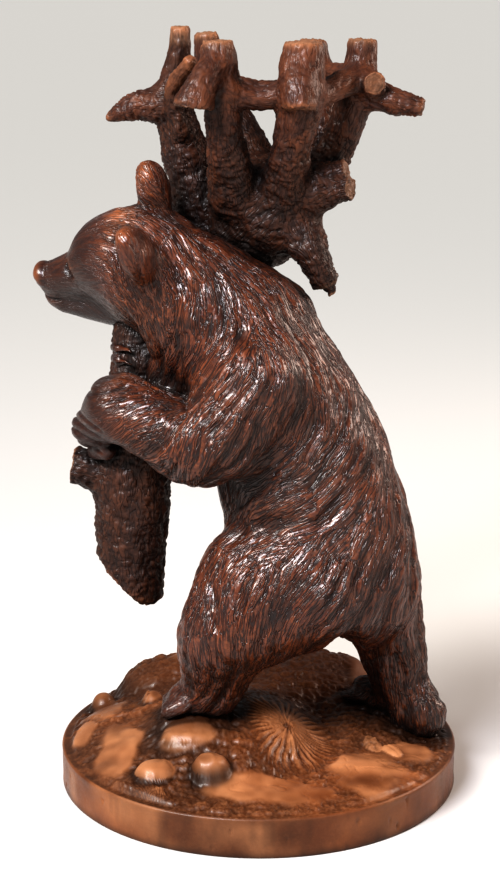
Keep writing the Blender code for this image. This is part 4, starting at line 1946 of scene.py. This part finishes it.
class Splitter:
    """Parts one closed net into closed pieces that share their seams.

    Attributes:
        rounds: How many times seams that touch themselves are moved.
        no_label: A number above all bands' numbers.
    """

    rounds: int = 12
    no_label: int = 99

    def __init__(self, net: Net, bands: tuple) -> None:
        """Gives each face to a band, by where its middle is.

        Args:
            net: The closed net.
            bands: The bands.
        """
        self.net = net
        self.bands = bands
        middles = net.corners[net.faces].mean(1)
        self.labels = np.zeros(len(net.faces), int)
        for i, band in enumerate(bands):
            inside = np.ones(len(net.faces), bool)
            if band.above:
                inside &= side_of(middles, band.above) > 0
            if band.below:
                inside &= side_of(middles, band.below) <= 0
            self.labels[inside] = i
        self.untie()

    def untie(self) -> None:
        """Gives all faces about a corner to one band where the seam would touch itself there."""
        for _ in range(self.rounds):
            lonely = self.tied_corners()
            if not len(lonely):
                return
            low = np.full(len(self.net.corners), self.no_label)
            for j in range(4):
                np.minimum.at(low, self.net.faces[:, j], self.labels)
            tied = np.isin(self.net.faces, lonely)
            chosen = np.where(tied, low[self.net.faces], self.no_label).min(1)
            self.labels = np.minimum(self.labels, chosen)
        LOG.warning("a seam still touches itself at %d corners", len(self.tied_corners()))

    def tied_corners(self) -> Array:
        """Finds the corners where a seam passes more than once.

        Returns:
            The indices of the corners.
        """
        tied = []
        for label in range(len(self.bands)):
            loops = self.open_edges(label)
            count = np.bincount(loops[:, 0], minlength=len(self.net.corners))
            tied.append(np.flatnonzero(count > 1))
        return np.unique(np.concatenate(tied))

    def open_edges(self, label: int) -> Array:
        """Gives a band's sides that have no second face in the band, in the faces' own turn.

        Args:
            label: The band's number.

        Returns:
            A row of two corners for each side.
        """
        faces = self.net.faces[self.labels == label]
        ring = np.stack([faces, np.roll(faces, -1, axis=1)], -1).reshape(-1, 2)
        size = len(self.net.corners)
        keys = ring[:, 0].astype(np.int64) * size + ring[:, 1]
        back = ring[:, 1].astype(np.int64) * size + ring[:, 0]
        return ring[~np.isin(keys, back)]

    def piece(self, label: int) -> tuple:
        """Gives a band as a net of its own and the loops that are open in it.

        Args:
            label: The band's number.

        Returns:
            The net and the list of loops.
        """
        chosen = self.labels == label
        used = np.unique(self.net.faces[chosen])
        lookup = np.full(len(self.net.corners), -1)
        lookup[used] = np.arange(len(used))
        loops = self.chain([(lookup[a], lookup[b]) for a, b in self.open_edges(label)])
        return self.net.part(chosen), loops

    @staticmethod
    def chain(edges: list) -> list:
        """Joins the open sides into closed loops of corners.

        Args:
            edges: Pairs of corners.

        Returns:
            The loops, each a list of corners.
        """
        following = dict(edges)
        loops = []
        while following:
            start, step = following.popitem()
            loop = [start]
            while step != start:
                loop.append(step)
                step = following.pop(step)
            loops.append(loop)
        return loops


def place(name: str, mesh: Mesh, material: Material) -> Object:
    """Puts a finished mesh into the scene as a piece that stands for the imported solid.

    Args:
        name: The piece's name.
        mesh: Its mesh, in place.
        material: Its wood.

    Returns:
        The placed object.
    """
    made = bpy.data.objects.new(name, mesh)
    bpy.context.scene.collection.objects.link(made)
    mesh.materials.append(material)
    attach(made, BODY)
    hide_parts(NODE)
    LOG.info("%s: %d triangles", name, sum(len(p.vertices) - 2 for p in mesh.polygons))
    return made


# Materials


# What a node's input may be given: another node's output, a number or a colour.
Given = Union[NodeSocket, float, tuple]


class Sketch:
    """Builds nodes in a node tree with few words."""

    def __init__(self, tree: NodeTree) -> None:
        """Takes the tree in which the nodes are built."""
        self.tree = tree

    def add(self, kind: str, inputs: dict = None, **settings) -> Node:
        """Adds a node.

        Args:
            kind: The node's type without the ShaderNode in front.
            inputs: Socket name or number to a constant or to another node's output.
            settings: The node's own settings.

        Returns:
            The node.
        """
        node = self.tree.nodes.new(kind if kind.startswith("Node") else "ShaderNode" + kind)
        for key, value in settings.items():
            setattr(node, key, value)
        for key, value in (inputs or {}).items():
            if isinstance(value, NodeSocket):
                self.tree.links.new(value, node.inputs[key])
            else:
                node.inputs[key].default_value = value
        return node

    def group(self, tree: NodeTree, inputs: dict) -> Node:
        """Adds a node group and sets its inputs.

        Args:
            tree: The group's own tree.
            inputs: Its sockets' names to what they are given.

        Returns:
            The node.
        """
        return self.add("Group", inputs, node_tree=tree)

    def math(self, operation: str, *values, clamp: bool = False) -> NodeSocket:
        """Adds one sum and gives its result."""
        node = self.add("Math", dict(enumerate(values)), operation=operation, use_clamp=clamp)
        return node.outputs[0]

    def remap(
        self, value: Given, low: float, high: float, to_low: float = 0.0, to_high: float = 1.0
    ) -> NodeSocket:
        """Stretches a value's range smoothly onto another.

        Args:
            value: The value that is stretched.
            low: Where its range starts.
            high: Where it ends.
            to_low: What the start becomes.
            to_high: What the end becomes.

        Returns:
            The stretched value.
        """
        node = self.add(
            "MapRange",
            {"Value": value, "From Min": low, "From Max": high, "To Min": to_low, "To Max": to_high},
            interpolation_type="SMOOTHSTEP",
        )
        return node.outputs["Result"]

    def mix(self, share: Given, one: Given, other: Given) -> NodeSocket:
        """Mixes two colours.

        Args:
            share: How much of the other there is.
            one: The first colour.
            other: The second colour.

        Returns:
            The mixed colour.
        """
        return self.add("Mix", {0: share, 6: one, 7: other}, data_type="RGBA").outputs[2]

    def noise(
        self, where: NodeSocket, scale: Given, detail: float = 4.0, roughness: float = 0.55
    ) -> NodeSocket:
        """Adds a noise texture and gives its value."""
        inputs = {"Vector": where, "Scale": scale, "Detail": detail, "Roughness": roughness}
        return self.add("TexNoise", inputs).outputs["Fac"]

    def attribute(self, name: str) -> NodeSocket:
        """Reads a value stored on the mesh."""
        return self.add("Attribute", attribute_name=name, attribute_type="GEOMETRY").outputs["Fac"]


@frozen
class Stain:
    """The colours of one stained and varnished surface, from its deepest cuts to its worn tops.

    Attributes:
        name: The material's name.
        deep: Colour in the cuts, and of painted shade.
        body: Main colour.
        warm: Colour of warmer patches.
        worn: Colour where the stain is rubbed through, and of painted sheen on the bear's mane.
        raw: Colour of freshly cut ends.
        across: Width of the finest strokes in millimetres, 0 for none.
        along: Their length.
        roughness: How matt the varnish is.
        coat: Share of clear coat.
        bump: Strength of the tool marks.
        patch_scale: Patches of colour in a metre.
    """

    name: str
    deep: tuple
    body: tuple
    warm: tuple
    worn: tuple
    raw: tuple = (0.36, 0.21, 0.12)
    across: float = 0.0
    along: float = 0.0
    roughness: float = 0.40
    coat: float = 0.5
    bump: float = 0.8
    patch_scale: float = 14.0


FUR_STAIN = Stain(
    "fur_wood",
    deep=(0.005, 0.0024, 0.002),
    body=(0.050, 0.0140, 0.0080),
    warm=(0.112, 0.0310, 0.0120),
    worn=(0.32, 0.105, 0.035),
    across=2.7,
    along=42.0,
)
BARK_STAIN = Stain(
    "bark_wood",
    deep=(0.005, 0.0026, 0.002),
    body=(0.042, 0.0140, 0.0080),
    warm=(0.095, 0.031, 0.013),
    worn=(0.29, 0.115, 0.050),
    across=4.6,
    along=17.0,
    roughness=0.54,
    coat=0.14,
    patch_scale=20.0,
)
GROUND_STAIN = Stain(
    "ground_wood",
    deep=(0.010, 0.0042, 0.0022),
    body=(0.098, 0.031, 0.0105),
    warm=(0.172, 0.057, 0.018),
    worn=(0.50, 0.235, 0.110),
    roughness=0.42,
    coat=0.12,
    bump=0.6,
    patch_scale=11.0,
)
COLOURS = ("Deep", "Body", "Warm", "Worn", "Raw")


def new_group(name: str, inputs: tuple, outputs: tuple) -> NodeTree:
    """Makes an empty node group with sockets given as (name, kind).

    Args:
        name: The group's name.
        inputs: Its input sockets.
        outputs: Its output sockets.

    Returns:
        The empty tree.
    """
    tree = bpy.data.node_groups.new(name, "ShaderNodeTree")
    for way, sockets in (("INPUT", inputs), ("OUTPUT", outputs)):
        for label, kind in sockets:
            tree.interface.new_socket(label, in_out=way, socket_type=f"NodeSocket{kind}")
    return tree


def strokes_group() -> NodeTree:
    """Makes the node group that draws fine strokes along the lays of patches.

    For each coat, noise n is stretched along the patch and weighed with w; the strokes are
    |sum of w n| over the root of the sum of w squared, so that overlaps stay as crisp as the rest.

    Returns:
        The finished tree.
    """
    tree = new_group(
        "hair_strokes",
        (("Across", "Float"), ("Along", "Float")),
        (("Crest", "Float"), ("Tone", "Float")),
    )
    s = Sketch(tree)
    given = s.add("NodeGroupInput").outputs
    where = s.add("TexCoord").outputs["Object"]
    finer = s.remap(s.attribute("fine"), 0.0, 1.0, 1.0, 1.75)
    sway = s.add("TexNoise", {"Vector": where, "Scale": 34.0, "Detail": 2.0}).outputs["Color"]
    sway = s.add("VectorMath", {0: sway, 1: (6.0, 0.0, 0.0)}, operation="MULTIPLY").outputs[0]
    scale = s.add("CombineXYZ", {
        0: s.math("DIVIDE", finer, given["Across"]), 1: s.math("DIVIDE", finer, given["Along"]), 2: 3.7,
    }).outputs[0]
    total, tone, square = 0.0, 0.0, 0.0
    for coat in range(Lay().coats):
        lay = s.add("Attribute", attribute_name=f"lay{coat}", attribute_type="GEOMETRY")
        weight = s.attribute(f"lap{coat}")
        place = s.add("VectorMath", {0: lay.outputs["Vector"], 1: sway}, operation="ADD").outputs[0]
        place = s.add("VectorMath", {0: place, 1: scale}, operation="MULTIPLY").outputs[0]
        value = s.math("SUBTRACT", s.noise(place, 1.0, 1.0, 0.45), 0.5)
        soft = s.math("SUBTRACT", s.noise(place, 0.37, 2.0, 0.5), 0.5)
        total = s.math("ADD", total, s.math("MULTIPLY", value, weight))
        tone = s.math("ADD", tone, s.math("MULTIPLY", soft, weight))
        square = s.math("ADD", square, s.math("MULTIPLY", weight, weight))
    size = s.math("SQRT", square)
    crest = s.remap(s.math("ABSOLUTE", s.math("DIVIDE", total, size)), 0.0, 0.1)
    done = s.add("NodeGroupOutput")
    tree.links.new(crest, done.inputs["Crest"])
    tree.links.new(s.math("DIVIDE", tone, size), done.inputs["Tone"])
    return tree


def wood_group() -> NodeTree:
    """Makes the node group that stains the wood: grooves dark, crests warm, worn tops light; it also paints
    shade where the surface is closed in, and darkens by the dark value, which is partly painted shade.

    Returns:
        The finished tree.
    """
    tree = new_group(
        "stained_wood",
        (
            *((name, "Color") for name in COLOURS),
            *((name, "Float") for name in ("Patch Scale", "Crest", "Tone")),
        ),
        (("Color", "Color"), ("Shine", "Float"), ("Height", "Float")),
    )
    s = Sketch(tree)
    given = s.add("NodeGroupInput").outputs
    where = s.add("TexCoord").outputs["Object"]
    furry, worn, air = s.attribute("furry"), s.attribute("worn"), s.attribute("open")
    pale, dark = s.attribute("pale"), s.attribute("dark")
    wide_crest = s.remap(s.math("ABSOLUTE", s.attribute("hair")), 0.0, 0.6)
    groove = s.math("MULTIPLY", s.math("SUBTRACT", 1.0, given["Crest"]), furry)
    wide_groove = s.math("MULTIPLY", s.math("SUBTRACT", 1.0, wide_crest), furry)
    patches = s.noise(where, given["Patch Scale"], 5.0, 0.6)
    fine = s.noise(where, 300.0, 6.0, 0.65)
    tinge = s.math("ADD", patches, s.math("MULTIPLY", given["Tone"], 0.7))
    colour = s.mix(s.remap(tinge, 0.35, 0.70), given["Body"], given["Warm"])
    clouds = s.noise(where, 7.0, 3.0, 0.5)
    colour = s.mix(s.remap(clouds, 0.48, 0.66, 0.0, 0.5), colour, given["Deep"])
    lit = s.math("MULTIPLY", s.remap(fine, 0.38, 0.75), s.math("MULTIPLY", given["Crest"], furry))
    colour = s.mix(s.math("MULTIPLY", lit, 0.30), colour, given["Worn"])
    # The worn value also carries painted sheen on the bear's mane and head, which this lightens too.
    rubbed = s.math("MULTIPLY", s.remap(worn, 0.2, 1.0), s.remap(patches, 0.3, 0.6, 0.5, 1.0))
    colour = s.mix(s.math("MULTIPLY", rubbed, 0.8), colour, given["Worn"])
    ends = s.math("MULTIPLY", pale, s.remap(fine, 0.3, 0.6, 0.6, 1.0), clamp=True)
    colour = s.mix(ends, colour, given["Raw"])
    colour = s.mix(s.math("MULTIPLY", wide_groove, 0.45), colour, given["Deep"])
    colour = s.mix(s.math("MULTIPLY", groove, 0.82), colour, given["Deep"])
    # Dark value: stain, dark eyes and paws, and painted shade on the bear's brows, hollows, cheeks and
    # finger gaps.
    colour = s.mix(s.math("MULTIPLY", dark, 0.8), colour, given["Deep"])
    # Painted shade: the less open the surface, in creases, between parts and under the figure, the nearer
    # the colour goes to Deep.
    colour = s.mix(s.remap(air, 0.2, 0.9, 0.88, 0.0), colour, given["Deep"])
    shine = s.math("ADD", s.math("MULTIPLY", groove, 0.25), s.remap(fine, 0.3, 0.7, -0.06, 0.08))
    shine = s.math("ADD", shine, s.math("MULTIPLY", pale, 0.3))
    shine = s.math("ADD", shine, s.remap(patches, 0.4, 0.65, -0.05, 0.07))
    drawn_out = s.add("Mapping", {"Vector": where, "Scale": (1.0, 1.0, 0.16)}).outputs[0]
    pores = s.noise(drawn_out, 900.0, 2.0)
    relief = s.math("MULTIPLY", given["Crest"], furry)
    relief = s.math("ADD", relief, s.math("MULTIPLY", given["Tone"], s.math("MULTIPLY", furry, 2.0)))
    relief = s.math("ADD", relief, s.math("MULTIPLY", pores, 0.12))
    relief = s.math("ADD", relief, s.math("MULTIPLY", fine, 0.14))
    done = s.add("NodeGroupOutput")
    for key, value in (("Color", colour), ("Shine", shine), ("Height", relief)):
        tree.links.new(value, done.inputs[key])
    return tree


def stained(stain: Stain, wood_tree: NodeTree, strokes_tree: NodeTree) -> Material:
    """Makes a material from a stain: satin varnish over stained wood, with tool marks as bump.

    Args:
        stain: The colours and the finish.
        wood_tree: The group that stains.
        strokes_tree: The group that draws strokes.

    Returns:
        The material.
    """
    made = bpy.data.materials.new(stain.name)
    made.use_nodes = True
    made.node_tree.nodes.clear()
    s = Sketch(made.node_tree)
    inputs = {name: (*getattr(stain, name.lower()), 1.0) for name in COLOURS}
    inputs["Patch Scale"] = stain.patch_scale
    inputs["Crest"], inputs["Tone"] = 1.0, 0.0
    if stain.across:
        strokes = s.group(strokes_tree, {"Across": stain.across, "Along": stain.along})
        inputs["Crest"], inputs["Tone"] = strokes.outputs
    wood = s.group(wood_tree, inputs)
    rough = s.math("ADD", wood.outputs["Shine"], stain.roughness)
    rough = s.math("SUBTRACT", rough, s.math("MULTIPLY", s.attribute("gloss"), 0.28), clamp=True)
    bump = s.add("Bump", {"Strength": stain.bump, "Distance": 0.0009, "Height": wood.outputs["Height"]})
    shader = s.add("BsdfPrincipled", {
        "Base Color": wood.outputs["Color"],
        "Roughness": rough,
        "Normal": bump.outputs[0],
        "Specular IOR Level": 0.25,
        "Coat Weight": stain.coat,
        "Coat Roughness": 0.2,
        "Coat Normal": bump.outputs[0],
    })
    done = s.add("OutputMaterial", {"Surface": shader.outputs[0]})
    done.is_active_output = True
    return made


# Studio


@frozen
class View:
    """The camera, fitted to the round base in the photograph.

    Attributes:
        place: Where it stands, in metres.
        tilt_down: How far it looks down, in degrees.
        lens: Its focal length.
        sensor: The width of its sensor.
    """

    place: tuple = (1.8387, -0.0089, 0.8142)
    tilt_down: float = 14.07
    lens: float = 76.9
    sensor: float = 36.0


class Shine(Enum):
    """The kinds of lamp in the studio."""

    SOFT_BOX = "AREA"
    WINDOW = "SUN"


@frozen
class Lamp:
    """A lamp that looks at a point of the carving.

    Attributes:
        name: The lamp's name.
        kind: Its kind.
        place: Where it hangs, in metres.
        power: Watts for a soft box, watts per square metre for a window.
        size: Width in metres for a soft box, angle in radians for a window.
        colour: Its light's colour.
        target: The point that it looks at.
    """

    name: str
    kind: Shine
    place: tuple
    power: float
    size: float
    colour: tuple = (1.0, 1.0, 1.0)
    target: tuple = (0.0, 0.0, 0.40)


LAMPS = (
    Lamp("key", Shine.WINDOW, (1.0, -1.25, 1.7), 3.6, 0.35, (1.0, 0.97, 0.93)),
    Lamp("sheen", Shine.SOFT_BOX, (1.5, -0.75, 1.75), 44.0, 0.55, (0.90, 0.91, 1.0)),
    Lamp("fill", Shine.SOFT_BOX, (1.9, 1.3, 0.7), 8.0, 1.2, (1.0, 0.93, 0.86)),
    Lamp("rim", Shine.SOFT_BOX, (-0.5, 1.7, 1.1), 25.0, 0.9, (1.0, 0.79, 0.68)),
)


@frozen
class Studio:
    """Camera, lights, floor and pale air round the object.

    Attributes:
        floor_reach: The floor's reach each way, in metres.
        floor_colour: The floor's colour.
        air_colour: Colour of the light from all round.
        air_light: Its strength.
    """

    floor_reach: float = 120.0
    floor_colour: tuple = (0.54, 0.535, 0.52, 1.0)
    air_colour: tuple = (0.93, 0.94, 0.96, 1.0)
    air_light: float = 0.26

    def build(self) -> None:
        """Sets up everything that isn't the object."""
        scene = bpy.context.scene
        view = View()
        data = bpy.data.cameras.new("camera")
        data.lens, data.sensor_width = view.lens, view.sensor
        data.sensor_fit = "AUTO"
        camera = bpy.data.objects.new("camera", data)
        camera.location = view.place
        camera.rotation_euler = Euler((math.radians(90 - view.tilt_down), 0.0, math.radians(90)))
        scene.collection.objects.link(camera)
        scene.camera = camera
        for lamp in LAMPS:
            self.light(lamp)
        self.floor()
        self.air()
        scene.view_settings.view_transform = "Standard"
        scene.view_settings.look = "High Contrast"

    @staticmethod
    def light(lamp: Lamp) -> None:
        """Hangs one lamp.

        Args:
            lamp: What kind of lamp it is and where.
        """
        data = bpy.data.lights.new(lamp.name, lamp.kind.value)
        data.energy, data.color = lamp.power, lamp.colour
        setattr(data, "angle" if lamp.kind is Shine.WINDOW else "size", lamp.size)
        made = bpy.data.objects.new(lamp.name, data)
        made.location = lamp.place
        aim = Vector(lamp.target) - Vector(lamp.place)
        made.rotation_euler = aim.to_track_quat("-Z", "Y").to_euler()
        bpy.context.scene.collection.objects.link(made)

    def floor(self) -> None:
        """Lays a plain pale floor under the carving."""
        mesh = bpy.data.meshes.new("floor")
        far = self.floor_reach
        ends = [(-far, -far, 0), (far, -far, 0), (far, far, 0), (-far, far, 0)]
        mesh.from_pydata(ends, [], [(0, 1, 2, 3)])
        made = bpy.data.objects.new("floor", mesh)
        bpy.context.scene.collection.objects.link(made)
        paint = bpy.data.materials.new("pale_floor")
        paint.use_nodes = True
        shader = paint.node_tree.nodes["Principled BSDF"]
        shader.inputs["Base Color"].default_value = self.floor_colour
        shader.inputs["Roughness"].default_value = 0.85
        mesh.materials.append(paint)

    def air(self) -> None:
        """Fills the surroundings with soft pale light."""
        world = bpy.data.worlds.new("air")
        world.use_nodes = True
        background = world.node_tree.nodes["Background"]
        background.inputs["Color"].default_value = self.air_colour
        background.inputs["Strength"].default_value = self.air_light
        bpy.context.scene.world = world


def place_bands(net: Net, bands: tuple, material: Material) -> None:
    """Parts a carved net into its bands and places each as a piece.

    Args:
        net: The whole closed net.
        bands: The bands that it is parted into.
        material: The wood that they all get.
    """
    splitter = Splitter(net, bands)
    for label, band in enumerate(bands):
        piece, loops = splitter.piece(label)
        LOG.info("%s closes %d loops", band.name, len(loops))
        place(band.name, piece.mesh(band.name, loops), material)


def main() -> None:
    logging.basicConfig(level=logging.INFO, format="%(relativeCreated)d %(message)s")
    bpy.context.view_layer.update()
    groups = wood_group(), strokes_group()
    bear = BearCarver(Coat(tuple(combed_places()))).carve(wrapped(BEAR, MESH.bear))
    place_bands(bear, BEAR_BANDS, stained(FUR_STAIN, *groups))
    tree = TreeCarver().carve(wrapped(TREE, MESH.tree))
    place_bands(tree, TREE_BANDS, stained(BARK_STAIN, *groups))
    ground, foot_edge = GroundCarver().build()
    ground_mesh = ground.mesh("ground_and_rim", [foot_edge])
    place("ground_and_rim", ground_mesh, stained(GROUND_STAIN, *groups))
    Studio().build()


if __name__ == "__main__":
    main()
